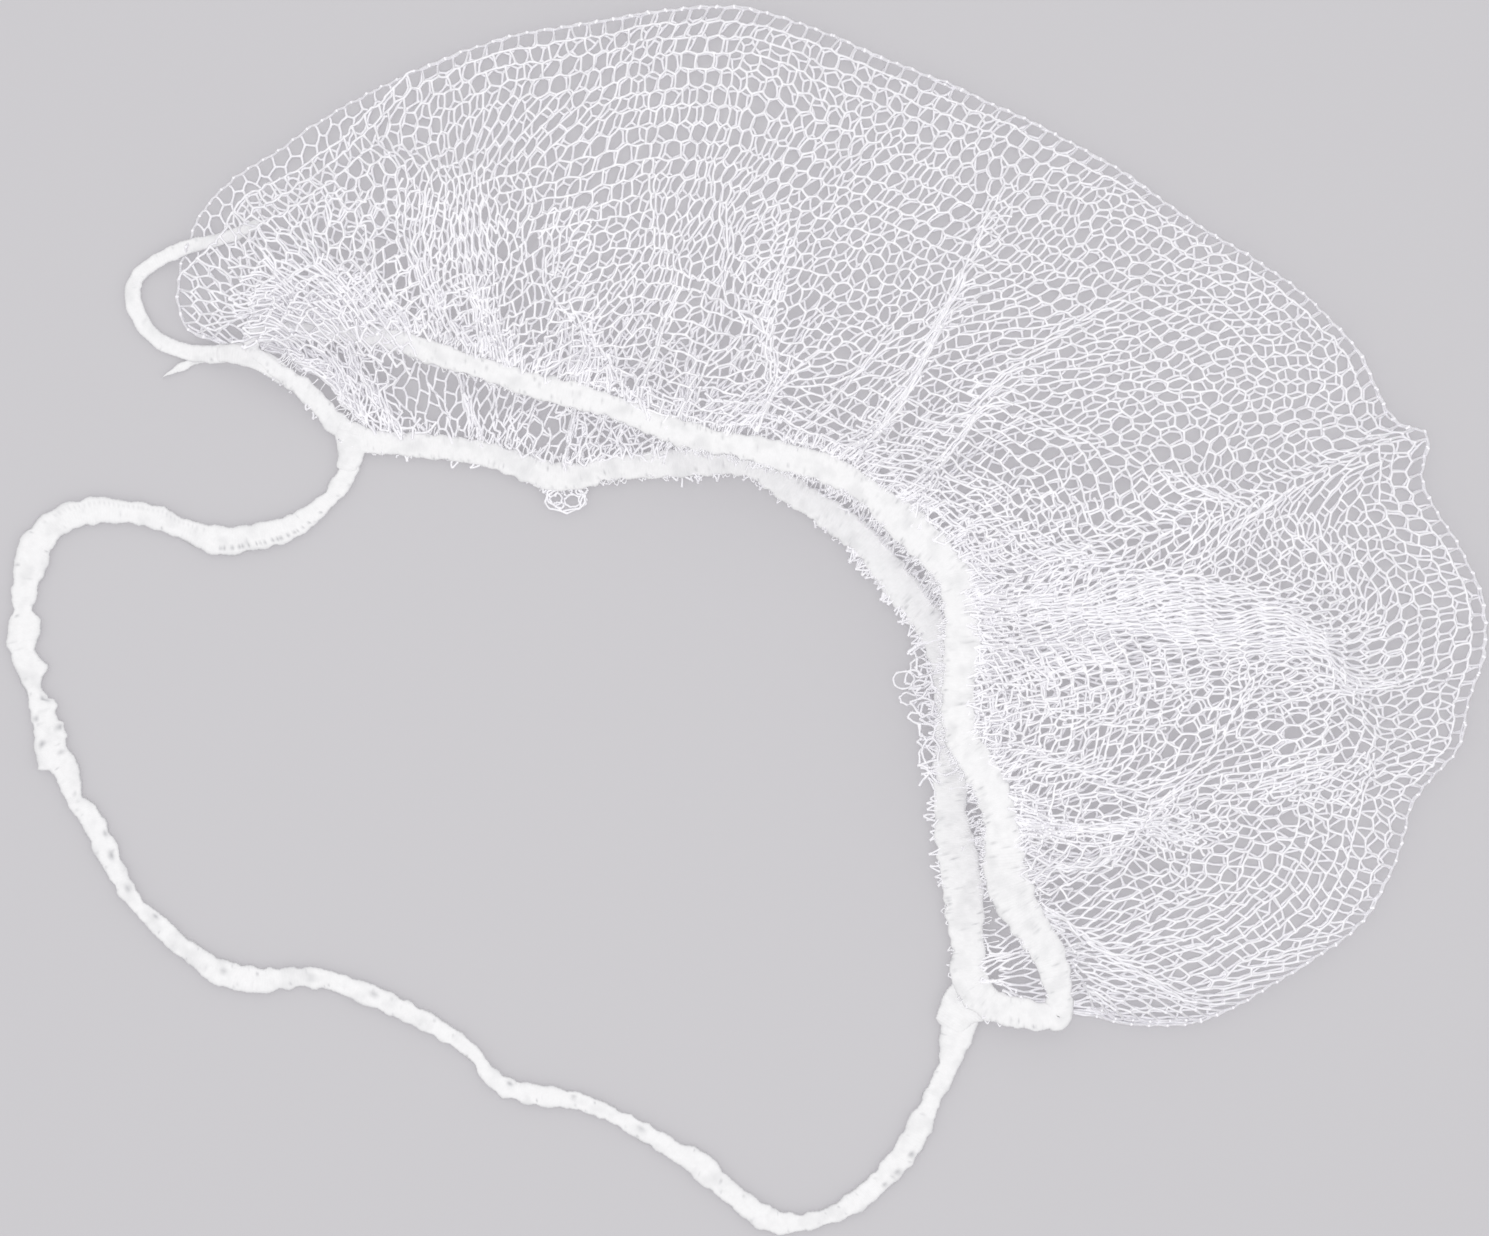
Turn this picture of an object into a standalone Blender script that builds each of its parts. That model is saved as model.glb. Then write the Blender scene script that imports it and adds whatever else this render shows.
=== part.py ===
"""Beard net laid flat on a table, in metres, +Z up.

A gathered net pouch of two layers joined by its outer fold, the elastic that
runs round its mouth, a long head elastic and a small spare loop at one corner.
The mouth's two corners lie along X, the fold lies towards +Y.
"""

import math

import bmesh
import bpy
import numpy as np

MM = 0.001

# Net, in mm: wall of the cloth, and how high the two layers stand apart
WALL = 1.0
FOLD_RADIUS = 1.6
LOFT_MIDDLE = 14.5
LOFT_ENDS = 5.6
LOFT_PEAK = 0.4
LOFT_SPREAD = 0.6
FLOOR_LAYER = WALL / 2
FOLD_SHOULDER = FLOOR_LAYER + 2 * FOLD_RADIUS
FOLD_TURNS = (45, 0, -45)

# Mouth elastic, in mm: an oval band, raised at both corners and along the front
BAND_WIDTH = 4.8
BAND_HEIGHT = 3.2
BAND_SIDES = 8
BAND_RINGS = 96
BAND_LOW = BAND_HEIGHT / 2 + 0.05
BAND_CORNER = 4.8
BAND_FRONT = 11.0
FRONT_RISE = 0.16
CORNER_REACH = 0.07
SEAM_GAP = 0.9
SEAM_FROM = 0.03
SEAM_POINTS = 48
LOOK_AHEAD = 0.004

# Head elastic and corner loop, in mm: limp cords that lie on the table
HEAD_WIDTH = 3.6
HEAD_RINGS = 42
LOOP_WIDTH = 2.6
LOOP_RINGS = 15
CORD_ROUNDNESS = 2

# Net pattern: windows two columns wide, in rows that follow the fold
COLUMNS = 48
GATHER_ROWS = (0.0, 0.07, 0.14, 0.22, 0.31)
WINDOW_ROWS = (0.31, 0.48, 0.65, 0.82, 1.0)
OPEN_ROWS = (1, 2, 3)
OPEN_FROM = 3
OPEN_TO = 42
ZIGZAG = 0.18
WINDOW_SIZE = 0.8

# Gathers at the mouth
PLEAT = (0.0, 1.0, 0.0, -1.0)
PLEAT_SIZE = (1.0, 0.7, 1.25, 0.85, 1.1, 0.6, 0.95)
FRONT_PLEAT = 1.7
BACK_PLEAT = 0.8
FRONT_PLEAT_REACH = 0.31
BACK_PLEAT_REACH = 0.22

# Outer fold in mm: x, y, from the left corner round to the right one
FOLD_LINE = (
    (-117, -72), (-122.5, -73.5), (-128, -69.5), (-133, -60), (-135, -51),
    (-134, -43), (-131.5, -35.5), (-129, -26), (-122, -8), (-112, 10.5),
    (-97, 29), (-82, 45), (-71, 51.5), (-53, 57.5), (-30, 64.5), (-5, 70.5),
    (18, 73), (43, 76), (60, 74.5), (75, 68.5), (82.5, 70.5), (88, 62.5),
    (103, 57), (113.5, 51), (120, 43), (123, 35), (127.5, 26), (127.5, 13),
    (132.5, 0), (135, -14), (130.5, -31), (124, -47.5), (116, -56), (105.5, -62.5),
)

# Front layer's gathered edge in mm: x, y
FRONT_RIM = (
    (-113.5, -61), (-105.5, -56), (-92.5, -47), (-77.5, -40.5), (-63, -34.5),
    (-48.5, -27.5), (-33, -22), (-17, -13), (-3, -7.5), (12, -7), (26, -8.5),
    (35.5, -14.5), (46, -28.5), (52, -34), (59, -36), (66.5, -40), (78.5, -49.5),
    (92.5, -55.5), (100.3, -60.3),
)

# Back layer's gathered edge in mm: x, y
BACK_RIM = (
    (-103, -64), (-92, -64.5), (-82.5, -65), (-73, -58.5), (-60, -50.5),
    (-48, -46), (-41, -38), (-30, -27), (-20, -19.5), (-8, -17), (8, -15.5),
    (22, -18), (34, -21), (45.5, -29), (59.5, -46.5), (68, -54.5), (79, -64.5),
    (83, -69.5), (87.5, -71), (94, -67.2),
)

# Where the elastic turns at the mouth's corners, in mm: x, y
RIGHT_CORNER = ((100, -65.8), (98.6, -69))
LEFT_CORNER = ((-104.5, -68), (-108.8, -68), (-110.2, -65.2))

# Large creases of the front layer: share of the way along the mouth, share
# along the fold that it points to, how far out it reaches, height in mm.
# A crease rises over its first sixth and sinks over its last third.
CREASES = (
    (0.13, 0.16, 0.60, 1.6),
    (0.28, 0.22, 0.70, 1.8),
    (0.43, 0.32, 0.65, 1.8),
    (0.50, 0.455, 0.80, 2.4),
    (0.55, 0.54, 0.80, 1.8),
    (0.64, 0.655, 0.95, 2.0),
    (0.65, 0.74, 0.75, 2.6),
    (0.87, 0.77, 0.75, 2.4),
)
CREASE_WIDTH = 0.014
CREASE_START = 1 / 6
CREASE_END = 1 / 3

# Head elastic's route in mm: x, y, z, from the left of the mouth to the right
HEAD_ROUTE = (
    (-81.3, -70.55, 1.85), (-79, -76, 1.85), (-78.4, -83, 1.85), (-80, -91, 1.85),
    (-87, -99.5, 1.85), (-97, -104.3, 1.85), (-107, -108.6, 1.85),
    (-115.5, -116.5, 1.85), (-116.6, -127, 1.85), (-110.5, -138, 1.85),
    (-99.5, -147.5, 1.85), (-86, -156.5, 1.85), (-72.5, -162, 1.85),
    (-57, -168, 1.85), (-40.5, -169.2, 1.85), (-26.5, -164.5, 1.85),
    (-15, -154.5, 1.85), (0, -150, 1.85), (14, -147.6, 1.85),
    (24, -148.4, 1.85), (39, -140.9, 1.85), (54, -137.4, 1.85),
    (72, -135.9, 1.85), (83, -134.8, 1.85), (91, -126, 1.85),
    (93.9, -113, 1.85), (92.2, -99.5, 1.85), (89, -88, 1.85),
    (85.3, -77.4, 1.85),
)

# Corner loop's route in mm: x, y, z, from the left corner out and back over
# the net
LOOP_ROUTE = (
    (-110.8, -70.2, 4.3), (-114, -73.4, 3.0), (-118, -76.4, 1.7),
    (-123, -78.2, 1.4), (-128, -78.6, 1.4), (-132.5, -77.6, 1.4),
    (-136.2, -75, 1.4), (-137.6, -71, 1.6), (-136.8, -67, 3.0),
    (-134.9, -63.2, 4.9), (-132.2, -59.6, 6.5), (-128.8, -55.8, 8.3),
    (-126, -51.5, 9.3), (-124.2, -47.5, 9.7),
)

# Colours: name, red, green, blue, roughness
NET_WHITE = ("white_net", 0.86, 0.85, 0.88, 0.65)
ELASTIC_WHITE = ("white_elastic", 0.90, 0.90, 0.91, 0.80)


def smooth_line(points, closed=False, steps=16):
    """Return a dense smooth line through the points."""
    points = np.array(points, float)
    if closed:
        padded = np.vstack([points[-1:], points, points[:2]])
    else:
        first = 2 * points[:1] - points[1:2]
        last = 2 * points[-1:] - points[-2:-1]
        padded = np.vstack([first, points, last])
    t = np.linspace(0, 1, steps, endpoint=False)[:, None]
    runs = []
    for a, b, c, d in zip(padded, padded[1:], padded[2:], padded[3:]):
        run = 2 * b + (c - a) * t + (2 * a - 5 * b + 4 * c - d) * t**2
        run = run + (3 * b - a - 3 * c + d) * t**3
        runs.append(run / 2)
    runs.append(padded[-2:-1])
    return np.vstack(runs)


def points_along(line, shares):
    """Return the points at these shares of the line's length."""
    steps = np.linalg.norm(np.diff(line, axis=0), axis=1)
    length = np.concatenate([[0], np.cumsum(steps)])
    wanted = np.asarray(shares, float) * length[-1]
    columns = [np.interp(wanted, length, line[:, k]) for k in range(line.shape[1])]
    return np.stack(columns, axis=-1)


def ease(x):
    """Rise smoothly from 0 to 1 as x goes from 0 to 1."""
    x = min(max(x, 0.0), 1.0)
    return x * x * (3 - 2 * x)


def front_height(share):
    """Height of the front edge's elastic: low at the corners."""
    rise = ease(min(share, 1 - share) / FRONT_RISE)
    return BAND_CORNER + (BAND_FRONT - BAND_CORNER) * rise


def back_height(share):
    """Height of the back edge's elastic: on the table except at the corners."""
    drop = ease(min(share, 1 - share) / CORNER_REACH)
    return BAND_CORNER + (BAND_LOW - BAND_CORNER) * drop


def pleat_size(column):
    """Return the height share of the gather at one fine column."""
    size = PLEAT_SIZE[(column // len(PLEAT)) % len(PLEAT_SIZE)]
    return PLEAT[column % len(PLEAT)] * size


def crease_height(share, out):
    """Height that the large creases add to the front layer."""
    height = 0.0
    for at_mouth, at_fold, reach, size in CREASES:
        middle = at_mouth + (at_fold - at_mouth) * out
        across = math.exp(-(((share - middle) / CREASE_WIDTH) ** 2))
        height += size * across * ease(out / CREASE_START) * ease((reach - out) / CREASE_END)
    return height


class Pouch:
    """The middle surface of the net, as vertices and faces."""

    def __init__(self):
        self.fold = smooth_line(FOLD_LINE)
        self.rims = {"front": smooth_line(FRONT_RIM), "back": smooth_line(BACK_RIM)}
        self.mesh = bmesh.new()

    def shoulder(self, share):
        """Return the fold's inner shoulder and the way out from it."""
        tip = points_along(self.fold, share)
        way = tip - points_along(self.rims["front"], share)
        way = way / np.linalg.norm(way)
        return tip - way * FOLD_RADIUS, way

    def height(self, layer, share, out, column):
        """Height of a layer's middle surface."""
        if layer == "front":
            edge = front_height(share)
            loft = LOFT_ENDS + (LOFT_MIDDLE - LOFT_ENDS) * math.sin(
                math.pi * share) ** LOFT_SPREAD
            bend = loft - edge * (1 - LOFT_PEAK) ** 2 - FOLD_SHOULDER * LOFT_PEAK**2
            bend /= LOFT_PEAK * (1 - LOFT_PEAK)
            height = edge * (1 - out) ** 2 + bend * out * (1 - out)
            height += FOLD_SHOULDER * out**2
            fade = ease(1 - out / FRONT_PLEAT_REACH)
            height += FRONT_PLEAT * pleat_size(column) * fade
            return height + crease_height(share, out)
        near_mouth = max(0.0, 1 - out / BACK_PLEAT_REACH) ** 2
        height = (BAND_LOW - FLOOR_LAYER) * ease(min(share, 1 - share) / CORNER_REACH)
        height += BACK_PLEAT * (1 + pleat_size(column)) / 2
        return FLOOR_LAYER + height * near_mouth

    def vertex(self, layer, column, out, slip=0.0):
        """Add the vertex of a layer at a fine column and a share outwards."""
        share = column / (2 * COLUMNS)
        rim = points_along(self.rims[layer], share)
        edge, _ = self.shoulder(share)
        place = rim + (edge - rim) * (out + slip)
        height = self.height(layer, share, out, column)
        return self.mesh.verts.new((place[0] * MM, place[1] * MM, height * MM))

    def gathers(self, layer):
        """Make the fine rows at the mouth and return the last one."""
        fine = range(2 * COLUMNS + 1)
        rows = [[self.vertex(layer, c, out) for c in fine] for out in GATHER_ROWS]
        for low, high in zip(rows, rows[1:]):
            self.strip(low, high)
        return rows[-1]

    def windows(self, layer, first_row):
        """Make the rows of windows and return the row at the shoulder."""
        rows = [first_row]
        last = len(WINDOW_ROWS) - 1
        height = WINDOW_ROWS[1] - WINDOW_ROWS[0]
        for index, out in enumerate(WINDOW_ROWS[1:], start=1):
            row = []
            for column in range(COLUMNS + 1):
                side = -1 if (column - index) % 2 == 0 else 1
                slip = side * ZIGZAG * height if index < last else 0.0
                row.append(self.vertex(layer, 2 * column, out, slip))
            rows.append(row)
        for index in range(last):
            low, high = rows[index], rows[index + 1]
            scale = 2 if index == 0 else 1
            for start in range(index % 2 - 1, COLUMNS, 2):
                a, b = max(start, 0), min(start + 2, COLUMNS)
                if a >= b:
                    continue
                outline = low[a * scale:b * scale + 1] + high[a:b + 1][::-1]
                is_open = index in OPEN_ROWS and OPEN_FROM <= start <= OPEN_TO
                self.cell(outline, is_open)
        return rows[-1]

    def cell(self, outline, is_open):
        """Make one cell, as a plate or as a ring round its window."""
        if not is_open:
            self.mesh.faces.new(outline)
            return
        corners = [np.array(v.co) for v in outline]
        centre = sum(corners) / len(corners)
        inner = [self.mesh.verts.new(centre + (c - centre) * WINDOW_SIZE) for c in corners]
        count = len(outline)
        for k in range(count):
            n = (k + 1) % count
            self.mesh.faces.new((outline[k], outline[n], inner[n], inner[k]))

    def strip(self, low, high):
        """Join two rows of equal length with quads."""
        for a, b, c, d in zip(low, low[1:], high[1:], high):
            self.mesh.faces.new((a, b, c, d))

    def fold_row(self, turn):
        """Make one row of the fold's round edge, at this angle from level."""
        row = []
        for column in range(COLUMNS + 1):
            edge, way = self.shoulder(column / COLUMNS)
            place = edge + way * FOLD_RADIUS * math.cos(turn)
            height = FLOOR_LAYER + FOLD_RADIUS * (1 + math.sin(turn))
            row.append(self.mesh.verts.new((place[0] * MM, place[1] * MM, height * MM)))
        return row

    def build(self):
        """Make both layers and the fold between them."""
        front = self.windows("front", self.gathers("front"))
        back = self.windows("back", self.gathers("back"))
        turned = [self.fold_row(math.radians(turn)) for turn in FOLD_TURNS]
        rows = [front] + turned + [back]
        for low, high in zip(rows, rows[1:]):
            self.strip(low, high)
        bmesh.ops.recalc_face_normals(self.mesh, faces=self.mesh.faces)
        return self.mesh


def material(look):
    """Return a plain Principled material."""
    name, red, green, blue, roughness = look
    made = bpy.data.materials.get(name)
    if made is None:
        made = bpy.data.materials.new(name)
        made.use_nodes = True
        shader = made.node_tree.nodes["Principled BSDF"]
        shader.inputs["Base Color"].default_value = (red, green, blue, 1)
        shader.inputs["Roughness"].default_value = roughness
        shader.inputs["Metallic"].default_value = 0
    return made


def add_object(name, data, look):
    """Link an object made of this mesh or curve."""
    item = bpy.data.objects.new(name, data)
    item.data.materials.append(material(look))
    bpy.context.scene.collection.objects.link(item)
    return item


def make_net_pouch():
    """The gathered net, a thin wall round an open hollow."""
    surface = Pouch().build()
    mesh = bpy.data.meshes.new("net_pouch")
    surface.to_mesh(mesh)
    surface.free()
    item = add_object("net_pouch", mesh, NET_WHITE)
    wall = item.modifiers.new("cloth_wall", "SOLIDIFY")
    wall.thickness = WALL * MM
    wall.offset = 0
    return item


def beside(rim, heights):
    """Return the elastic's middle line along a rim of the net."""
    shares = np.linspace(SEAM_FROM, 1 - SEAM_FROM, SEAM_POINTS)
    places = points_along(rim, shares)
    ahead = points_along(rim, shares + LOOK_AHEAD) - points_along(rim, shares - LOOK_AHEAD)
    ahead /= np.linalg.norm(ahead, axis=1)[:, None]
    aside = np.stack([ahead[:, 1], -ahead[:, 0]], axis=1)
    middle = places + aside * (BAND_WIDTH / 2 + SEAM_GAP)
    levels = np.array([heights(share) for share in shares])
    return np.column_stack([middle, levels])


def make_mouth_elastic():
    """The elastic round the mouth, a closed oval band."""
    front = beside(smooth_line(FRONT_RIM), front_height)
    back = beside(smooth_line(BACK_RIM), back_height)
    right = [(x, y, BAND_CORNER) for x, y in RIGHT_CORNER]
    left = [(x, y, BAND_CORNER) for x, y in LEFT_CORNER]
    ring = np.vstack([front, right, back[::-1], left])
    line = smooth_line(ring, closed=True, steps=4)
    shares = np.linspace(0, 1, BAND_RINGS, endpoint=False)
    middle = points_along(line, shares)
    ahead = np.roll(middle, -1, axis=0) - np.roll(middle, 1, axis=0)
    ahead[:, 2] = 0
    ahead /= np.linalg.norm(ahead, axis=1)[:, None]
    aside = np.stack([-ahead[:, 1], ahead[:, 0], ahead[:, 2]], axis=1)
    reach = 1 / math.cos(math.pi / BAND_SIDES)
    body = bmesh.new()
    rings = []
    for centre, side in zip(middle, aside):
        ring_verts = []
        for k in range(BAND_SIDES):
            angle = 2 * math.pi * (k + 0.5) / BAND_SIDES
            spot = centre + side * BAND_WIDTH / 2 * reach * math.cos(angle)
            spot = spot + np.array((0, 0, BAND_HEIGHT / 2 * reach * math.sin(angle)))
            ring_verts.append(body.verts.new(spot * MM))
        rings.append(ring_verts)
    for one, two in zip(rings, rings[1:] + rings[:1]):
        for k in range(BAND_SIDES):
            n = (k + 1) % BAND_SIDES
            body.faces.new((one[k], one[n], two[n], two[k]))
    bmesh.ops.recalc_face_normals(body, faces=body.faces)
    mesh = bpy.data.meshes.new("mouth_elastic")
    body.to_mesh(mesh)
    body.free()
    mesh.shade_smooth()
    return add_object("mouth_elastic", mesh, ELASTIC_WHITE)


def make_cord(name, route, width, rings):
    """A limp elastic as a round tube along its route."""
    spots = points_along(smooth_line(route), np.linspace(0, 1, rings))
    curve = bpy.data.curves.new(name, "CURVE")
    curve.dimensions = "3D"
    curve.bevel_depth = width / 2 * MM
    curve.bevel_resolution = CORD_ROUNDNESS
    curve.use_fill_caps = True
    run = curve.splines.new("POLY")
    run.points.add(rings - 1)
    for point, spot in zip(run.points, spots):
        point.co = (spot[0] * MM, spot[1] * MM, spot[2] * MM, 1)
    return add_object(name, curve, ELASTIC_WHITE)


def main():
    for item in list(bpy.data.objects):
        bpy.data.objects.remove(item)
    make_net_pouch()
    make_mouth_elastic()
    make_cord("head_elastic", HEAD_ROUTE, HEAD_WIDTH, HEAD_RINGS)
    make_cord("corner_loop", LOOP_ROUTE, LOOP_WIDTH, LOOP_RINGS)


main()
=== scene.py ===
# %% [markdown]
# # A beard net, laid flat on a table
# A disposable beard net is a strip of fine honeycomb knit, folded once along
# its length. Its two long edges are gathered onto a narrow elastic that runs
# round the mouth, and a long head elastic is sewn to the mouth's lower edge.
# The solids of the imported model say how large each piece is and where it
# lies. This lesson dresses them with the real thread and the real elastic.

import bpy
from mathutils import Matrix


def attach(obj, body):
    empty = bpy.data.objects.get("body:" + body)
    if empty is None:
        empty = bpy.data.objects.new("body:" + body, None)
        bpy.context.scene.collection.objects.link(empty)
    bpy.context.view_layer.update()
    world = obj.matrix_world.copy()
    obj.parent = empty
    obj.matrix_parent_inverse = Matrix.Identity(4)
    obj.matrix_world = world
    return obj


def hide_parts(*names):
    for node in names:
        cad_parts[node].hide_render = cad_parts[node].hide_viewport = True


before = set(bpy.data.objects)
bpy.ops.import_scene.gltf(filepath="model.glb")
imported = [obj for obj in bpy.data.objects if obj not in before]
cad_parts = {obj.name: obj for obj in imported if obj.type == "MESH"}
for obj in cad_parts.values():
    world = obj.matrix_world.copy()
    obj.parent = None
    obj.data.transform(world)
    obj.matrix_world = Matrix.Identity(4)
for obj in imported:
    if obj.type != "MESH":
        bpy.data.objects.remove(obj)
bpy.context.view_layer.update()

# %% Modules and the unit
import math

import bpy
import numpy as np

MM = 0.001

# %% [markdown]
# ## Camera
# The net is seen straight from above, with the mouth's long direction turned
# forty degrees on the picture. A long lens far away keeps the heights of the
# net from shifting it sideways. The lens follows from the width that the
# picture has to take in, three millimetres above the table, so that the
# framing stays right if the camera's height is changed.

# %% Camera
VIEW_MIDDLE = (0.00102, -0.0459)
VIEW_WIDTH = 0.2978
VIEW_TURN = 40
CAMERA_HEIGHT = 1.2
TRUE_SCALE_HEIGHT = 0.003
SENSOR_WIDTH = 36

lens_data = bpy.data.cameras.new("photo_camera")
lens_data.sensor_width = SENSOR_WIDTH
lens_data.lens = SENSOR_WIDTH * (CAMERA_HEIGHT - TRUE_SCALE_HEIGHT) / VIEW_WIDTH
camera = bpy.data.objects.new("photo_camera", lens_data)
camera.location = (VIEW_MIDDLE[0], VIEW_MIDDLE[1], CAMERA_HEIGHT)
camera.rotation_euler = (0, 0, math.radians(VIEW_TURN))
bpy.context.scene.collection.objects.link(camera)
bpy.context.scene.camera = camera
print("lens in mm:", round(lens_data.lens, 1))

# %% [markdown]
# ## Lines to follow
# Every piece here follows a line: the elastics follow their routes, and the
# net's rows follow the fold. A smooth curve through a few points, read at
# shares of its length, is all that they need. The fold and the two gathered
# edges are the same lines that shape the solids.

# %% Smooth lines
def smooth_line(points, closed=False, steps=16):
    """Return a dense smooth line through the points."""
    points = np.array(points, float)
    if closed:
        padded = np.vstack([points[-1:], points, points[:2]])
    else:
        first = 2 * points[:1] - points[1:2]
        last = 2 * points[-1:] - points[-2:-1]
        padded = np.vstack([first, points, last])
    t = np.linspace(0, 1, steps, endpoint=False)[:, None]
    runs = []
    for a, b, c, d in zip(padded, padded[1:], padded[2:], padded[3:]):
        run = 2 * b + (c - a) * t + (2 * a - 5 * b + 4 * c - d) * t**2
        run = run + (3 * b - a - 3 * c + d) * t**3
        runs.append(run / 2)
    runs.append(padded[-2:-1])
    return np.vstack(runs)


def lengths_along(line):
    """Return the length from the line's start to each of its points."""
    steps = np.linalg.norm(np.diff(line, axis=0), axis=1)
    return np.concatenate([[0], np.cumsum(steps)])


def points_along(line, shares):
    """Return the points at these shares of the line's length."""
    length = lengths_along(line)
    wanted = np.asarray(shares, float) * length[-1]
    columns = [np.interp(wanted, length, line[:, k]) for k in range(line.shape[1])]
    return np.stack(columns, axis=-1)


def ease(x):
    """Rise smoothly from 0 to 1 as x goes from 0 to 1."""
    x = np.clip(x, 0, 1)
    return x * x * (3 - 2 * x)


# %% [markdown]
# ## Unevenness
# Nothing in a knit is quite even. A sum of a few plane waves with random
# directions and phases gives a smooth field of humps about as wide as wanted.
# The seed is fixed, so that every run gives the same net.

# %% Soft unevenness
class Waves:
    """A smooth random field of about unit height, with humps of this size."""

    def __init__(self, seed, size, count=14):
        rng = np.random.default_rng(seed)
        angle = rng.uniform(0, 2 * np.pi, count)
        rate = 2.6 * np.pi / size * rng.uniform(0.5, 1.0, count)
        self.rates = np.stack([rate * np.cos(angle), rate * np.sin(angle)])
        self.phase = rng.uniform(0, 2 * np.pi, count)
        self.gain = math.sqrt(2 / count)

    def __call__(self, x, y):
        place = np.multiply.outer(x, self.rates[0]) + np.multiply.outer(y, self.rates[1])
        return self.gain * np.sin(place + self.phase).sum(-1)


# %% [markdown]
# ## Elastic
# The elastics are knitted flat bands, two to nine millimetres wide. Fine
# ribs run across them, and small holes, lumps and teeth along their edges show
# where stitches have slipped. One sweep makes them all: a flat ring is carried
# along the route, a table says how far its two edges reach to the right and to
# the left, and the band's relief then moves each point of the surface a little.
# An attribute keeps how much darker each point is painted, for the finish: along the edges this
# is painted shade, where a rounded edge turns from the light, and in a hole it stands for the
# table seen through it and for the shade in the dent.

# %% Sizes of the sweep
BAND_STEP = 0.3
SIDE_ROUNDNESS = 0.8
TOP_ROUNDNESS = 0.5
TABLE_GAP = 0.05


def signed_power(value, power):
    """Raise to a power and keep the sign."""
    return np.sign(value) * np.abs(value) ** power


# %% Rings of a band along a route
def band_rings(middle, right, left, height, sides, relief, closed=False):
    """Return the rings of a flat band, its mm along, and its holes with the painted shade along
    its edges.
    """
    if closed:
        ahead = np.roll(middle, -1, axis=0) - np.roll(middle, 1, axis=0)
    else:
        ahead = np.gradient(middle, axis=0)
    ahead /= np.linalg.norm(ahead, axis=1)[:, None]
    level = ahead * (1, 1, 0)
    level /= np.linalg.norm(level, axis=1)[:, None]
    aside = np.stack([-level[:, 1], level[:, 0], 0 * level[:, 0]], axis=1)
    up = np.cross(ahead, aside)
    along = lengths_along(middle)
    angle = 2 * np.pi * (np.arange(sides) + 0.5) / sides
    across = signed_power(np.cos(angle), SIDE_ROUNDNESS)
    above = signed_power(np.sin(angle), TOP_ROUNDNESS)
    push, ragged, pits = relief(along[:, None], across[None, :], above[None, :])
    half = ((left + right) / 2)[:, None] + push + ragged * np.abs(across) ** 3
    shift = ((left - right) / 2)[:, None] + half * across
    rise = (height[:, None] / 2 + push) * above
    rings = middle[:, None] + aside[:, None] * shift[..., None] + up[:, None] * rise[..., None]
    return rings, along, pits


# %% Mesh of a band
def band_object(name, rings, along, pits, width, closed=False):
    """Make a mesh of the rings, with a UV map in metres and an attribute of its holes and its
    painted edge shade.
    """
    count, sides = rings.shape[:2]
    number = np.arange(count * sides).reshape(count, sides)
    upper = np.roll(number, -1, axis=0) if closed else number[1:]
    lower = number if closed else number[:-1]
    quads = np.stack(
        [lower, np.roll(lower, -1, 1), np.roll(upper, -1, 1), upper], axis=-1
    ).reshape(-1, 4)
    faces = quads.tolist()
    if not closed:
        faces.append(number[0][::-1].tolist())
        faces.append(number[-1].tolist())
    mesh = bpy.data.meshes.new(name)
    mesh.from_pydata((rings.reshape(-1, 3) * MM).tolist(), [], faces)
    whole = along[-1] + (along[1] if closed else 0)
    ends = np.append(along, whole) * MM
    v = np.linspace(0, 1, sides + 1) * 2 * width * MM
    row, side = np.divmod(np.arange(len(quads)), sides)
    u = np.stack([ends[row], ends[row], ends[row + 1], ends[row + 1]], axis=1)
    w = np.stack([v[side], v[side + 1], v[side + 1], v[side]], axis=1)
    uv = np.stack([u, w], axis=-1).reshape(-1)
    layer = mesh.uv_layers.new(name="UVMap")
    spare = len(mesh.loops) * 2 - len(uv)
    layer.data.foreach_set("uv", np.append(uv, np.zeros(spare)).astype(np.float32))
    # the holes and the painted shade along the edges, which the finish paints darker
    pit_and_edge_shade = mesh.attributes.new("pit_and_edge_shade", "FLOAT", "POINT")
    pit_and_edge_shade.data.foreach_set("value", pits.reshape(-1).astype(np.float32))
    mesh.shade_smooth()
    mesh.validate()
    item = bpy.data.objects.new(name, mesh)
    bpy.context.scene.collection.objects.link(item)
    print(name, "faces:", len(mesh.polygons), "length in mm:", round(float(whole), 1))
    return item


# %% Relief of the knitted band
RIB_HEIGHT = 0.01
FUZZ_HEIGHT = 0.015
PIT_DEPTH = 0.12
# where the underside and the two edges read the random fields, so that they differ
UNDERSIDE_PLACE = 40.0
EDGE_PLACE = 25.0


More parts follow.
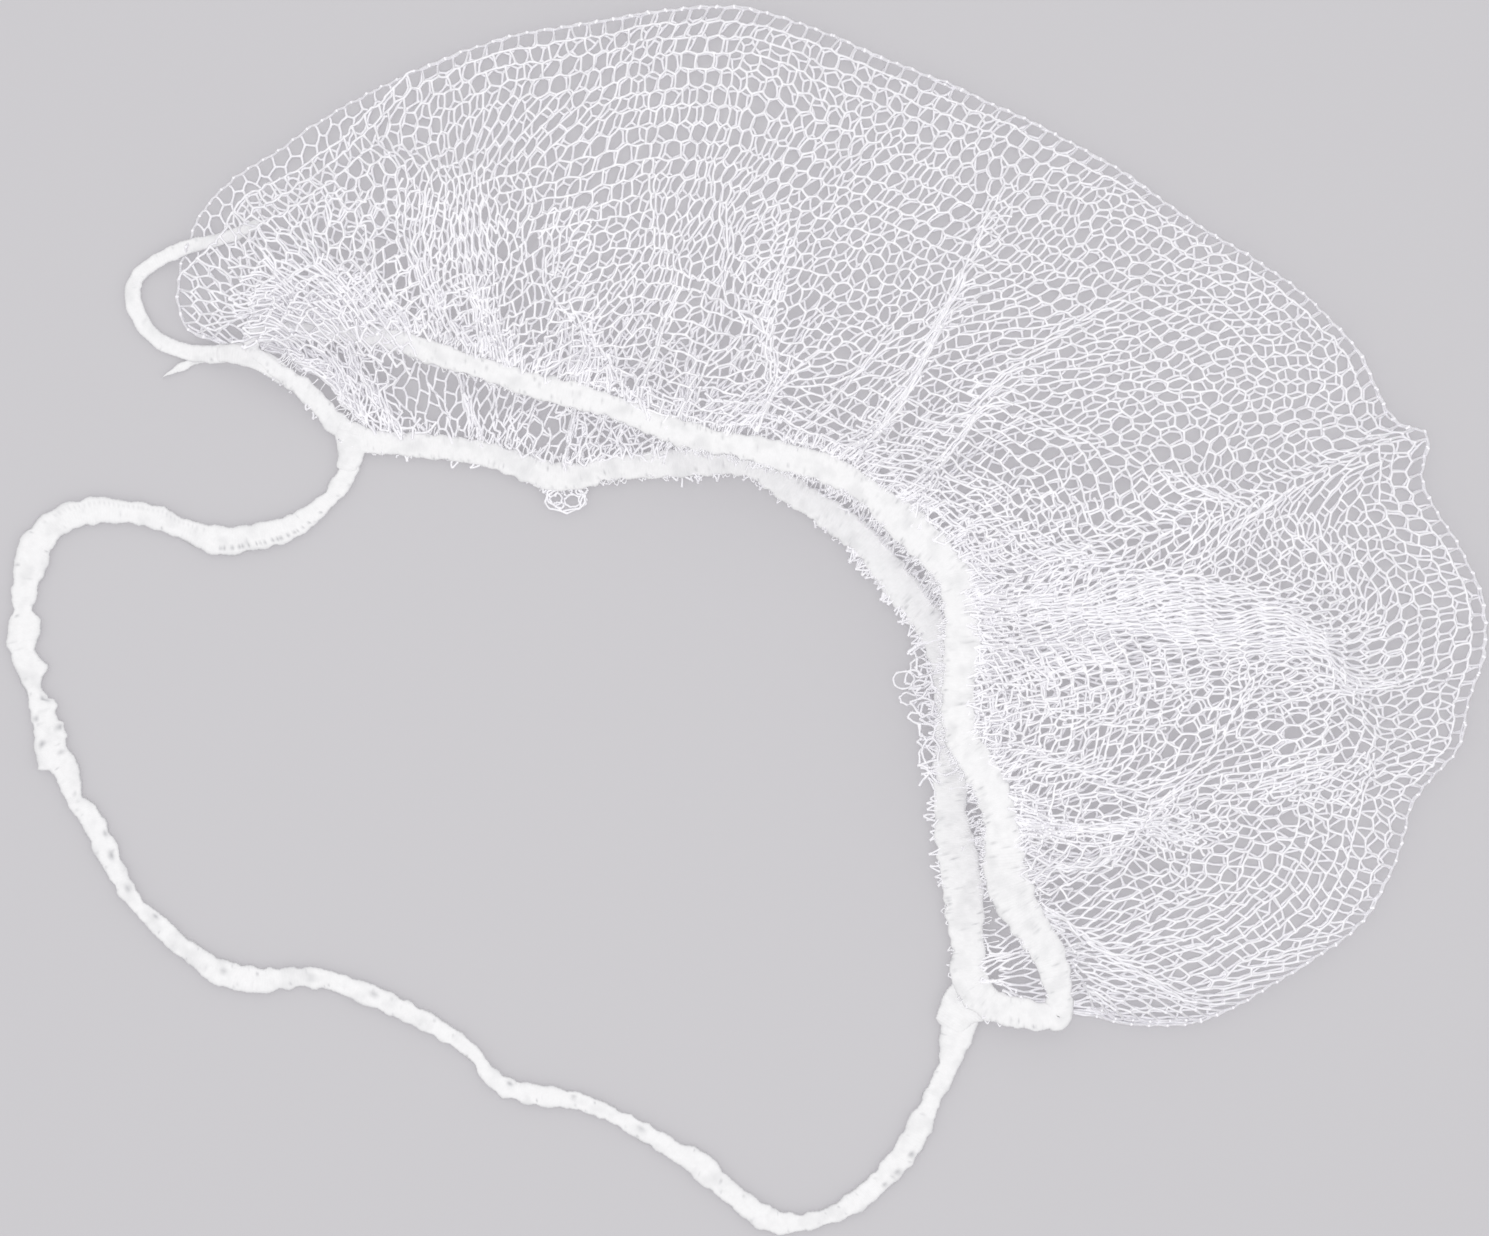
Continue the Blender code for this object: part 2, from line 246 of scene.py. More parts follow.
class Relief:
    """Ribs, ragged edges, lumps and holes of one elastic, in mm, and the painted shade of its
    edges and holes.
    """

    def __init__(self, seed, rib=0.85, lump=0.06, ragged=0.08, edge_shade=0.28, holes=()):
        self.rib, self.lump, self.ragged, self.edge_shade = rib, lump, ragged, edge_shade
        self.slow, self.fine = Waves(seed, 9.0), Waves(seed + 1, 2.2)
        self.wander, self.teeth = Waves(seed + 2, 14.0), Waves(seed + 3, 3.4)
        self.holes = holes

    def __call__(self, along, across, above):
        along, across, above = np.broadcast_arrays(along, across, above)
        turned = across * 2.2 + np.where(above < 0, UNDERSIDE_PLACE, 0.0)
        bend = 0.5 * self.wander(along, across * 2)
        ribs = np.sin(2 * np.pi * (along + bend) / self.rib)
        lumps = self.lump * self.slow(along, turned) + FUZZ_HEIGHT * self.fine(along, turned)
        edge = np.where(across > 0, EDGE_PLACE, -EDGE_PLACE)
        teeth = self.teeth(along, edge) + 0.4 * self.fine(along, edge)
        ragged = self.ragged * teeth + 0.05 * ribs
        pits = np.zeros(along.shape)
        for place, side, size, depth in self.holes:
            wide = 0.08 + 0.2 * size
            near = np.exp(-(((along - place) / size) ** 2) - ((across - side) / wide) ** 2)
            pits = np.maximum(pits, near * depth * (above > 0))
        # painted shade: the band's edges are darkened for the finish, where a rounded edge turns
        # from the light; the holes, darkened too, stand for the table seen through them and for
        # the shade in their dents
        painted_edge_shade = self.edge_shade * np.abs(across) ** 9
        push = RIB_HEIGHT * ribs + lumps - PIT_DEPTH * pits
        return push, ragged, np.maximum(pits, painted_edge_shade)


# %% Stitch holes
def scattered_holes(seed, whole, spacing, sides, size=(0.14, 0.34)):
    """Return small stitch holes along a band: place, side, size, depth."""
    rng = np.random.default_rng(seed)
    holes = []
    place = spacing
    while place < whole - spacing:
        side = float(rng.choice(sides)) + rng.normal(0, 0.1)
        holes.append((place, side, rng.uniform(*size), rng.uniform(0.2, 0.8)))
        place += spacing * rng.uniform(0.2, 2.0)
    return tuple(holes)


# %% [markdown]
# ## Head elastic
# The head elastic goes round the back of the head. Off the wearer it is limp
# and lies in a wide loose curve on the table, from the left of the mouth to
# the right. It is a flat ribbon that has curled in on itself in places, so its
# width changes, and its edge has teeth where single stitches have let go. Its
# route is the one that the solid follows, here in metres, and its ends run on
# into the mouth's elastic, to which they are sewn.

# %% Route of the head elastic
HEAD_ROUTE = np.array((
    (-0.0813, -0.07055, 0.00185), (-0.0790, -0.0760, 0.00185),
    (-0.0784, -0.0830, 0.00185), (-0.0800, -0.0910, 0.00185),
    (-0.0870, -0.0995, 0.00185), (-0.0970, -0.1043, 0.00185),
    (-0.1070, -0.1086, 0.00185), (-0.1155, -0.1165, 0.00185),
    (-0.1166, -0.1270, 0.00185), (-0.1105, -0.1380, 0.00185),
    (-0.0995, -0.1475, 0.00185), (-0.0860, -0.1565, 0.00185),
    (-0.0725, -0.1620, 0.00185), (-0.0570, -0.1680, 0.00185),
    (-0.0405, -0.1692, 0.00185), (-0.0265, -0.1645, 0.00185),
    (-0.0150, -0.1545, 0.00185), (0.0000, -0.1500, 0.00185),
    (0.0140, -0.1476, 0.00185), (0.0240, -0.1484, 0.00185),
    (0.0390, -0.1409, 0.00185), (0.0540, -0.1374, 0.00185),
    (0.0720, -0.1359, 0.00185), (0.0830, -0.1348, 0.00185),
    (0.0910, -0.1260, 0.00185), (0.0939, -0.1130, 0.00185),
    (0.0922, -0.0995, 0.00185), (0.0890, -0.0880, 0.00185),
    (0.0853, -0.0774, 0.00185),
))

# %% Edges and holes of the head elastic
# mm along the route, then how far the band reaches to its right and its left
HEAD_EDGES = np.array((
    (0, 2.6, 2.8), (4, 1.4, 2.8), (8, 1.3, 2.6), (12, 1.5, 1.9), (16, 2.3, 1.7),
    (20, 3.0, 2.0), (28, 3.3, 2.2), (32, 2.9, 2.7), (35.5, 2.6, 3.6), (38, 2.2, 3.2),
    (41, 1.8, 2.6), (44, 1.8, 2.3), (48, 2.8, 2.2), (52, 2.2, 2.4), (56, 1.8, 2.5),
    (60, 2.6, 2.8), (64, 2.3, 3.2), (70, 2.9, 2.7), (76, 3.6, 3.2), (79, 3.1, 3.7),
    (85, 2.4, 2.8), (89, 1.9, 2.2), (90, 2.4, 2.8), (91.5, 3.0, 3.7), (93.5, 3.7, 3.7),
    (95, 3.7, 2.6), (97.5, 3.2, 1.6), (99.5, 3.1, 2.5), (101, 3.1, 3.8), (102, 2.9, 3.0),
    (103, 2.5, 1.9), (105, 1.9, 1.4), (107.5, 2.0, 1.9), (108, 2.1, 3.4), (109.5, 2.2, 3.8),
    (110.3, 2.3, 2.7), (112.5, 2.6, 2.8), (113, 2.7, 3.9), (116, 3.2, 3.8), (116.6, 3.3, 3.0),
    (119, 3.8, 3.0), (120.5, 3.8, 3.6), (121.2, 1.8, 3.7), (125, 1.5, 3.2), (129, 2.0, 1.5),
    (132, 1.6, 3.1), (141, 1.6, 3.0), (149, 1.5, 2.1), (153, 1.3, 1.8), (161, 1.2, 3.0),
    (165, 1.3, 2.4), (169, 1.5, 2.8), (174, 2.8, 2.5), (181, 2.3, 3.1), (187, 1.2, 3.2),
    (193, 1.3, 2.8), (201, 2.3, 1.7), (207, 2.2, 2.2), (217, 1.7, 2.3), (225, 1.5, 2.0),
    (230, 1.5, 1.2), (239, 2.5, 1.5), (245, 2.6, 1.6), (254, 1.8, 1.7), (262, 1.5, 1.6),
    (270, 1.9, 1.9), (276, 1.7, 2.0), (278, 1.6, 3.2), (282, 2.1, 3.7), (286, 2.0, 2.7),
    (290, 2.2, 2.0), (298, 2.5, 2.7), (301, 2.6, 2.3), (306, 1.8, 1.5), (312, 2.1, 1.3),
    (318, 2.7, 1.7), (326, 2.8, 1.8), (333, 3.5, 1.7), (338, 3.1, 1.8), (343, 2.3, 1.6),
    (350, 2.9, 1.3), (354, 3.3, 2.6), (358, 3.4, 3.6), (365, 3.6, 3.7),
))
# mm along the route, side from -1 to 1, size in mm, depth
HEAD_HOLES = (
    (110.0, 0.55, 0.8, 0.9), (112.2, 0.0, 0.5, 0.8), (113.4, -0.6, 0.6, 0.8),
    (116.3, 0.7, 0.7, 0.9), (118.5, -0.5, 0.7, 0.9), (121.3, 0.6, 0.5, 0.7),
    (130.2, 0.1, 0.5, 0.7), (140.0, 0.6, 0.7, 0.8), (144.5, 0.2, 0.9, 0.9),
    (152.0, 0.3, 0.9, 0.7), (160.0, 0.5, 0.7, 0.8), (178.0, 0.2, 0.8, 0.6),
    (196.0, 0.0, 1.0, 0.6), (209.0, 0.2, 1.0, 0.6), (242.1, 0.5, 0.7, 0.9),
    (255.2, 0.4, 0.6, 0.8), (270.0, 0.1, 0.9, 0.6), (326.2, -0.6, 0.6, 0.8),
    (329.6, -0.6, 0.6, 0.8), (333.9, -0.6, 0.7, 0.9),
)

# %% Lay an elastic along its route
# a flat band's middle lies this much lower than a round tube's, and a hair off the table
LOWER_BY = 0.9
OFF_TABLE = 0.1


def along_route(route, step=BAND_STEP):
    """Return the route in mm as points about a step apart."""
    line = smooth_line(route / MM, steps=24)
    count = int(round(lengths_along(line)[-1] / step))
    return points_along(line, np.linspace(0, 1, count))


def run_on(line, before, after):
    """Lengthen a line straight on at both ends, by these mm."""
    back = (line[0] - line[2]) / np.linalg.norm(line[0] - line[2])
    ahead = (line[-1] - line[-3]) / np.linalg.norm(line[-1] - line[-3])
    head = line[0] + np.arange(before, 0, -BAND_STEP)[:, None] * back
    tail = line[-1] + np.arange(BAND_STEP, after, BAND_STEP)[:, None] * ahead
    return np.vstack([head, line, tail])


def rounded_ends(along, size=1.2):
    """Narrow a band to a blunt rounded tip at both ends."""
    inner = np.minimum(along, along[-1] - along) / size
    return np.sqrt(np.clip(1 - (1 - np.clip(inner, 0, 1)) ** 2, 0.06, 1))


def lay_elastic(name, route, edges, thickness, relief, sides=20, before=0.0, after=0.0):
    """Sweep one loose elastic along its route, lying on the table."""
    path = along_route(route)
    middle = run_on(path, before, after)
    along = lengths_along(middle)
    taper = rounded_ends(along)
    right, left = (np.interp(along - before, edges[:, 0], edges[:, k]) * taper for k in (1, 2))
    height = thickness * taper
    middle[:, 2] = np.maximum(middle[:, 2] - LOWER_BY, height / 2 + OFF_TABLE)
    rings, along, pits = band_rings(middle, right, left, height, sides, relief)
    rings[..., 2] = np.maximum(rings[..., 2], TABLE_GAP)
    item = band_object(name, rings, along, pits, float(np.mean(right + left)))
    return item, path * MM


# %% Head elastic
head_pits = HEAD_HOLES + scattered_holes(5, 362, 2.6, (-0.75, -0.5, 0.1, 0.6, 0.8))
# a row of dark pits near the left join, and a row of faint ones after it
for place in np.arange(20.0, 38.0, 1.1):
    shifted = place + 0.3 * math.sin(4 * place)
    head_pits += ((shifted, 0.55, 0.26 + 0.08 * math.sin(5 * place), 0.8),)
for place in np.arange(43.0, 72.0, 0.95):
    head_pits += ((place, -0.6, 0.22, 0.35),)
# its edges get the most painted shade of all the elastics
head_elastic_band, head_path = lay_elastic(
    "head_elastic_band", HEAD_ROUTE, HEAD_EDGES, 1.5,
    Relief(21, lump=0.09, ragged=0.14, edge_shade=0.42, holes=head_pits), before=2.5, after=3.0)
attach(head_elastic_band, "root")
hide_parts("head_elastic")

# %% [markdown]
# ## Corner loop
# At the left corner the mouth's elastic runs on as a small spare loop. It
# leaves the corner, swings out over the table and comes back over the single
# layer of net at the fold, where it ends under the upper layer. A short tail
# of the same elastic, cut to a point, hangs from it.

# %% Route and edges of the corner loop
LOOP_ROUTE = np.array((
    (-0.1108, -0.0702, 0.0043), (-0.1140, -0.0734, 0.0030),
    (-0.1180, -0.0764, 0.0019), (-0.1230, -0.0782, 0.0017),
    (-0.1280, -0.0786, 0.0017), (-0.1325, -0.0776, 0.0017),
    (-0.1362, -0.0750, 0.0017), (-0.1376, -0.0710, 0.0018),
    (-0.1368, -0.0670, 0.0021), (-0.1349, -0.0632, 0.0025),
    (-0.1322, -0.0596, 0.0026), (-0.1288, -0.0558, 0.0026),
    (-0.1260, -0.0515, 0.0025), (-0.1242, -0.0475, 0.0024),
))
# mm along the route, then how far the band reaches to its right and its left
LOOP_EDGES = np.array((
    (-3, 1.9, 1.9), (6, 1.9, 1.9), (12, 1.6, 1.7), (16, 1.4, 1.8), (20, 1.7, 1.6),
    (24, 2.4, 1.1), (28, 2.8, 0.5), (32, 3.0, 0.0), (37, 3.1, -0.2), (41, 2.9, 0.2),
    (46, 2.2, 0.7), (52, 1.6, 1.1), (58, 1.2, 1.1), (63, 0.9, 0.9),
))
TAIL_ROUTE = np.array((
    (-0.1146, -0.0750, 0.0020), (-0.1162, -0.0768, 0.0015),
    (-0.1184, -0.0815, 0.0009), (-0.1194, -0.0840, 0.0007),
))
TAIL_EDGES = np.array(((0, 0.9, 0.9), (3, 0.8, 0.8), (6, 0.9, 0.9), (10, 0.15, 0.15)))

# %% Corner loop and its tail
loop_holes = scattered_holes(9, 61, 3.0, (-0.7, 0.0, 0.6))
corner_loop_band, loop_path = lay_elastic(
    "corner_loop_band", LOOP_ROUTE, LOOP_EDGES, 1.3,
    Relief(33, rib=0.7, holes=loop_holes), sides=16, before=2.0)
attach(corner_loop_band, "root")
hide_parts("corner_loop")

loop_tail_band, _ = lay_elastic(
    "loop_tail_band", TAIL_ROUTE, TAIL_EDGES, 0.9, Relief(35, lump=0.03), sides=12)
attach(loop_tail_band, "root")
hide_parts("corner_loop")

# %% [markdown]
# ## Mouth elastic
# The mouth's elastic is one closed flat band. Its front half lies on the
# gathers of the upper layer, its back half on the table, and both meet at the
# corners. It is narrowest at the left corner, where it turns into the spare
# loop, and widest near the right corner. Its line is worked out beside the
# net's two gathered edges, as in the solid.

# %% Net outlines
FOLD_LINE = (
    (-117, -72), (-122.5, -73.5), (-128, -69.5), (-133, -60), (-135, -51),
    (-134, -43), (-131.5, -35.5), (-129, -26), (-122, -8), (-112, 10.5),
    (-97, 29), (-82, 45), (-71, 51.5), (-53, 57.5), (-30, 64.5), (-5, 70.5),
    (18, 73), (43, 76), (60, 74.5), (75, 68.5), (82.5, 70.5), (88, 62.5),
    (103, 57), (113.5, 51), (120, 43), (123, 35), (127.5, 26), (127.5, 13),
    (132.5, 0), (135, -14), (130.5, -31), (124, -47.5), (116, -56), (105.5, -62.5),
)
FRONT_RIM = (
    (-113.5, -61), (-105.5, -56), (-92.5, -47), (-77.5, -40.5), (-63, -34.5),
    (-48.5, -27.5), (-33, -22), (-17, -13), (-3, -7.5), (12, -7), (26, -8.5),
    (35.5, -14.5), (46, -28.5), (52, -34), (59, -36), (66.5, -40), (78.5, -49.5),
    (92.5, -55.5), (100.3, -60.3),
)
BACK_RIM = (
    (-103, -64), (-92, -64.5), (-82.5, -65), (-73, -58.5), (-60, -50.5),
    (-48, -46), (-41, -38), (-30, -27), (-20, -19.5), (-8, -17), (8, -15.5),
    (22, -18), (34, -21), (45.5, -29), (59.5, -46.5), (68, -54.5), (79, -64.5),
    (83, -69.5), (87.5, -71), (94, -67.2),
)
RIGHT_CORNER = ((100, -65.8), (98.1, -68.4))
LEFT_CORNER = ((-104.5, -68), (-108.8, -68), (-110.2, -65.2))

# %% Heights of the mouth
BAND_LOW = 1.65
BAND_CORNER = 4.8
BAND_FRONT = 11.0


def from_corner(share, level, reach):
    """Height in mm: the corner's at both ends, and this level past this share."""
    return BAND_CORNER + (level - BAND_CORNER) * ease(np.minimum(share, 1 - share) / reach)


def front_height(share):
    """Height of the front edge in mm: low at the corners."""
    return from_corner(share, BAND_FRONT, 0.16)


def back_height(share):
    """Height of the back edge in mm: on the table except at the corners."""
    return from_corner(share, BAND_LOW, 0.07)


# %% Widths of the mouth elastic
# share along the gathered edge, width in mm, and mm from the edge to its middle
FRONT_WIDTHS = np.array((
    (0, 2.4, 3.3), (0.06, 3.2, 3.3), (0.12, 4.4, 3.4), (0.2, 4.8, 3.5), (0.36, 5.0, 3.9),
    (0.45, 5.4, 4.6), (0.52, 5.6, 4.2), (0.57, 7.0, 4.1), (0.62, 7.8, 3.9), (0.66, 7.4, 3.4),
    (0.7, 7.0, 3.1), (0.8, 6.8, 3.5), (0.86, 7.1, 3.7), (0.895, 8.6, 4.5), (0.93, 7.5, 3.9),
    (0.95, 6.8, 3.5), (1, 5.6, 3.0),
))
BACK_WIDTHS = np.array((
    (0, 4.2, 3.3), (0.1, 4.6, 3.3), (0.2, 5.2, 3.3), (0.5, 5.6, 3.3), (0.57, 6.6, 3.2),
    (0.7, 7.0, 3.2), (0.81, 7.0, 3.2), (0.865, 8.4, 2.7), (0.91, 7.6, 3.1), (0.96, 6.6, 2.8),
    (1, 5.6, 2.2),
))


# where along a gathered edge the elastic's middle is worked out
EDGE_SHARES = np.linspace(0.03, 0.97, 48)
SHARE_STEP = 0.004


def beside(rim, heights, widths):
    """Return the elastic's middle line along a gathered edge, and its width."""
    shares = EDGE_SHARES
    places = points_along(rim, shares)
    ahead = points_along(rim, shares + SHARE_STEP) - points_along(rim, shares - SHARE_STEP)
    ahead /= np.linalg.norm(ahead, axis=1)[:, None]
    aside = np.stack([ahead[:, 1], -ahead[:, 0]], axis=1)
    width, reach = (np.interp(shares, widths[:, 0], widths[:, k]) for k in (1, 2))
    return np.column_stack([places + aside * reach[:, None], heights(shares), width])


# %% Middle line of the mouth elastic
RIGHT_TURN_WIDTH = 5.4
LEFT_TURN_WIDTH = 3.6
WIDTH_WAVER = 0.35

front_edge = beside(smooth_line(FRONT_RIM), front_height, FRONT_WIDTHS)
back_edge = beside(smooth_line(BACK_RIM), back_height, BACK_WIDTHS)
right_turn = [(x, y, BAND_CORNER, RIGHT_TURN_WIDTH) for x, y in RIGHT_CORNER]
left_turn = [(x, y, BAND_CORNER, LEFT_TURN_WIDTH) for x, y in LEFT_CORNER]
mouth_ring = np.vstack([front_edge, right_turn, back_edge[::-1], left_turn])
mouth_line = smooth_line(mouth_ring, closed=True, steps=12)
mouth_length = lengths_along(mouth_line)[-1]
mouth_count = int(mouth_length / BAND_STEP)
mouth_line = points_along(mouth_line, np.arange(mouth_count) / mouth_count)
mouth_middle, mouth_width = mouth_line[:, :3], mouth_line[:, 3]
mouth_along = lengths_along(mouth_middle)
mouth_width = mouth_width + WIDTH_WAVER * Waves(41, 16.0)(mouth_along, 0 * mouth_along)

# %% Mouth elastic
MOUTH_THICKNESS = 1.5
MOUTH_SIDES = 20
MEAN_WIDTH = 5.4

mouth_holes = scattered_holes(12, mouth_length, 0.7, (-0.9, 0.9, -0.7, 0.7, 0.1), (0.12, 0.3))
# besides the rings, the holes and the painted shade along the band's edges
mouth_rings, mouth_along, mouth_pits_and_shade = band_rings(
    mouth_middle, mouth_width / 2, mouth_width / 2, np.full(mouth_count, MOUTH_THICKNESS),
    MOUTH_SIDES, Relief(43, rib=0.6, ragged=0.16, edge_shade=0.18, holes=mouth_holes), closed=True)
mouth_rings[..., 2] = np.maximum(mouth_rings[..., 2], TABLE_GAP)
mouth_elastic_band = band_object(
    "mouth_elastic_band", mouth_rings, mouth_along, mouth_pits_and_shade, MEAN_WIDTH, closed=True)
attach(mouth_elastic_band, "root")
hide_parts("mouth_elastic")

# %% [markdown]
# ## Joins of the elastics
# Where an elastic meets the mouth's band it is spread out on it and stitched
# down, so the one runs into the other without an edge. Three short flared
# bands do this: one for the spare loop and one for each end of the head
# elastic. They lie only a hair above the two elastics that they join.

# %% Joins
# name, the points of its route in metres, then rows of mm along the route
# and how far the band reaches to its right and its left
JOINS = (
    ("loop_join_band",
     ((-0.1000, -0.0675, 0.0045), (-0.1055, -0.0686, 0.0057),
      (-0.1100, -0.0703, 0.0052), (-0.1140, -0.0733, 0.0031)),
     ((0, 2.0, 2.1), (5, 2.2, 2.2), (10, 2.1, 2.1), (16, 1.8, 1.8))),
    ("head_join_left_band",
     ((-0.0826, -0.0672, 0.00262), (-0.0812, -0.0708, 0.0024), (-0.0796, -0.0750, 0.0020)),
     ((0, 4.4, 3.8), (2, 3.9, 3.6), (4, 2.6, 3.1), (6, 1.7, 2.9), (9, 1.4, 2.8))),
    ("head_join_right_band",
     ((0.0846, -0.0722, 0.0034), (0.0844, -0.0768, 0.0029), (0.0852, -0.0830, 0.0020)),
     ((0, 3.4, 4.4), (3, 4.6, 5.6), (5.5, 4.6, 4.8), (7.5, 3.8, 3.5), (11, 3.3, 3.0))),
)
joins = []
for name, route, reaches in JOINS:
    # the joins' edges get only a little painted shade
    relief = Relief(101 + 7 * len(joins), rib=0.6, ragged=0.12, edge_shade=0.12)
    join, _ = lay_elastic(name, np.array(route), np.array(reaches), 1.5, relief)
    joins.append(join)
    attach(join, "root")
    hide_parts("mouth_elastic")

# %% [markdown]
# ## Honeycomb net
# The knit is a honeycomb: rows of zigzags that run along the fold, joined by
# short links. The strip has the same number of columns at its fold and at its
# gathered edge, so its cells close up towards the mouth, and the spare cloth
# bunches into creases. Each layer is worked out as a grid of knots. A knot's
# place comes from the fold and the gathered edge, and creases then draw the
# columns together without stretching a thread.

# %% Pleats
COLUMNS = 139
ZIG = 2.10
LINK = 2.45
# share along the mouth, share along the fold, reach, strength, width;
# a strength below zero spreads the columns instead
FRONT_PLEATS = (
    (0.664, 0.772, 0.90, 0.72, 0.076), (0.495, 0.44, 0.60, 0.70, 0.035),
    (0.20, 0.18, 0.80, 0.45, 0.055), (0.85, 0.86, 0.50, 0.80, 0.035),
    (0.55, 0.52, 0.40, 1.10, 0.022), (0.33, 0.30, 0.40, 1.00, 0.022),
    (0.91, 0.895, 1.00, -0.50, 0.050),
)
BACK_PLEATS = (
    (0.664, 0.780, 0.85, 0.66, 0.074), (0.38, 0.36, 0.50, 0.60, 0.040),
    (0.85, 0.86, 0.50, 0.70, 0.040), (0.20, 0.18, 0.70, 0.45, 0.055),
    (0.71, 0.71, 0.10, -0.80, 0.050), (0.91, 0.895, 1.00, -0.50, 0.050),
)


# %% Gathers, and columns drawn together
def gathers(seed, count):
    """Return the small gathers at the mouth, as short pleats."""
    rng = np.random.default_rng(seed)
    found = []
    for k in range(count):
        at = (k + rng.uniform(0.1, 0.9)) / count
        found.append((at, at + rng.normal(0, 0.02), rng.uniform(0.12, 0.50),
                      rng.uniform(0.55, 1.35), rng.uniform(0.006, 0.013)))
    return tuple(found)


def bunch(place, out, pleats):
    """Draw the columns in towards the pleats at this share outwards."""
    for mouth, fold, reach, strength, width in pleats:
        middle = mouth + (fold - mouth) * out
        near = np.exp(-(((place - middle) / width) ** 2))
        place = place - strength * ease((reach - out) / 0.2) * (place - middle) * near
    return place


def pleat_rise(place, out, pleats):
    """Height in mm that the pleats add to a layer."""
    height = np.zeros(np.shape(place))
    for mouth, fold, reach, strength, width in pleats:
        middle = mouth + (fold - mouth) * out
        near = np.exp(-(((place - middle) / (0.55 * width)) ** 2))
        size = 1.6 * max(strength, 0) * min(width / 0.02, 1.5)
        height += size * ease((reach - out) / 0.25) * near
    return height


# %% [markdown]
# ## Folds pressed into the net
# The net was packed flat, and lines across it still show where it was folded:
# the threads lie closer there, and the knots a little higher. Each fold is a
# smooth line on the table, and the knots near it move part of the way to it.

# %% Folds pressed into the net
# points in mm from the mouth outwards, then width in mm and strength
FRONT_FOLDS = (
    (((-4, -7), (-3, 7), (-6, 21), (-13, 45), (-15, 57)), 4.6, 0.88),
    (((1, -7), (6, 12), (9, 24), (16, 47), (21, 58)), 5.0, 0.80),
    (((9, 11), (12, 20), (24, 22), (50, 31), (74, 37), (89, 39)), 4.2, 0.75),
    (((64, 17), (64, 27), (68, 44), (79, 66)), 4.2, 0.70),
    (((12, -9), (13, -2), (11, 5), (11, 19)), 4.5, 0.75),
    (((77, -46), (87, -38), (88, -20), (89, -8), (87, 5), (82, 16)), 5.5, 0.88),
    (((46, -24), (61, -20), (72, -14), (84, -7)), 3.6, 0.70),
    (((55, -31), (68, -27), (78, -24), (87, -21)), 4.5, 0.78),
    (((77, 21), (88, 24), (102, 20), (113, 15), (121, 0), (130, -18)), 4.2, 0.72),
    (((100, 18), (106, 24), (111, 30), (117, 38)), 4.6, 0.75),
    (((84, -51), (100, -50), (114, -48), (123, -48)), 5.0, 0.80),
    (((21, -3), (39, 4), (58, 13), (75, 23), (90, 32)), 4.6, 0.55),
    (((29, -10), (52, -2), (74, 9), (93, 25)), 4.0, 0.30),
    (((32, -14), (53, -9), (71, -3), (86, 9)), 4.0, 0.40),
    (((34, -18), (46, -17), (60, -15)), 4.5, 0.60),
    (((-20, -13), (-30, -2), (-44, 2), (-48, 9), (-66, 20)), 5.0, 0.86),
    (((-23, -17), (-23, -9), (-24, -2), (-31, -1)), 4.5, 0.80),
    (((-38, -4), (-55, 0), (-63, 3), (-71, 11), (-77, 18)), 4.5, 0.76),
    (((-30, -1), (-35, 7), (-40, 16), (-44, 25)), 4.2, 0.66),
    (((-40, -29), (-58, -23), (-72, -21), (-79, -19), (-85, -7)), 5.2, 0.85),
    (((-84, -7), (-90, -8), (-96, -12), (-105, -17), (-122, -25)), 5.5, 0.76),
    (((-62, -28), (-77, -29), (-86, -34), (-93, -41)), 4.2, 0.72),
    (((-125, -52), (-120, -40), (-117, -30)), 4.5, 0.66),
    (((-45, -29), (-46, -19), (-48, -12)), 4.5, 0.70),
    (((-35, -28), (-37, -17), (-41, -9)), 4.5, 0.70),
    (((-78, -41), (-85, -38), (-93, -34), (-103, -31)), 4.6, 0.68),
    (((-93, -51), (-100, -48), (-110, -46), (-116, -42)), 5.0, 0.72),
    (((-105, -58), (-111, -54), (-117, -52), (-123, -50)), 5.0, 0.72),
    (((-84, -46), (-95, -43), (-103, -40)), 4.5, 0.68),
    (((-67, -37), (-74, -35), (-80, -31)), 4.5, 0.68),
    (((-113, -67), (-114, -59), (-111, -51), (-105, -44)), 5.0, 0.66),
    (((71, -50), (72, -42), (80, -35), (87, -25)), 4.6, 0.66),
    (((91, -55), (101, -58), (109, -58)), 4.5, 0.70),
    (((105, -1), (114, -4), (121, -19)), 3.6, 0.50),
    (((74, 62), (84, 55), (90, 44)), 4.5, 0.60),
)
BACK_FOLDS = (
    (((24, -6), (42, 4), (64, 14), (86, 26)), 5.0, 0.35),
    (((34, -16), (52, -14), (71, -9)), 5.0, 0.40),
    (((-46, -47), (-53, -34), (-64, -25), (-76, -17), (-82, -4)), 5.0, 0.70),
    (((-30, -29), (-39, -15), (-45, 1), (-54, 17)), 5.0, 0.70),
    (((-16, -18), (-25, -1), (-28, 15)), 5.0, 0.60),
    (((3, -6), (3, 13), (5, 32)), 5.0, 0.70),
    (((12, -11), (16, 10), (21, 28)), 5.0, 0.60),
    (((56, -47), (70, -36), (84, -21)), 5.0, 0.75),
    (((66, -60), (80, -48), (88, -36)), 5.0, 0.75),
    (((-75, -63), (-91, -56), (-106, -47), (-122, -40)), 5.0, 0.70),
    (((-99, -65), (-110, -61), (-122, -56)), 5.0, 0.60),
    (((-88, -61), (-99, -58), (-108, -54)), 4.0, 0.75),
    (((-62, -53), (-77, -44), (-92, -36), (-103, -29)), 5.0, 0.70),
    (((78, -71), (92, -56), (109, -48)), 5.0, 0.70),
)


# %% Knots drawn to the folds
# shares of a fold's length over which it comes in and fades out
FOLD_START = 0.10
FOLD_FADE = 0.18


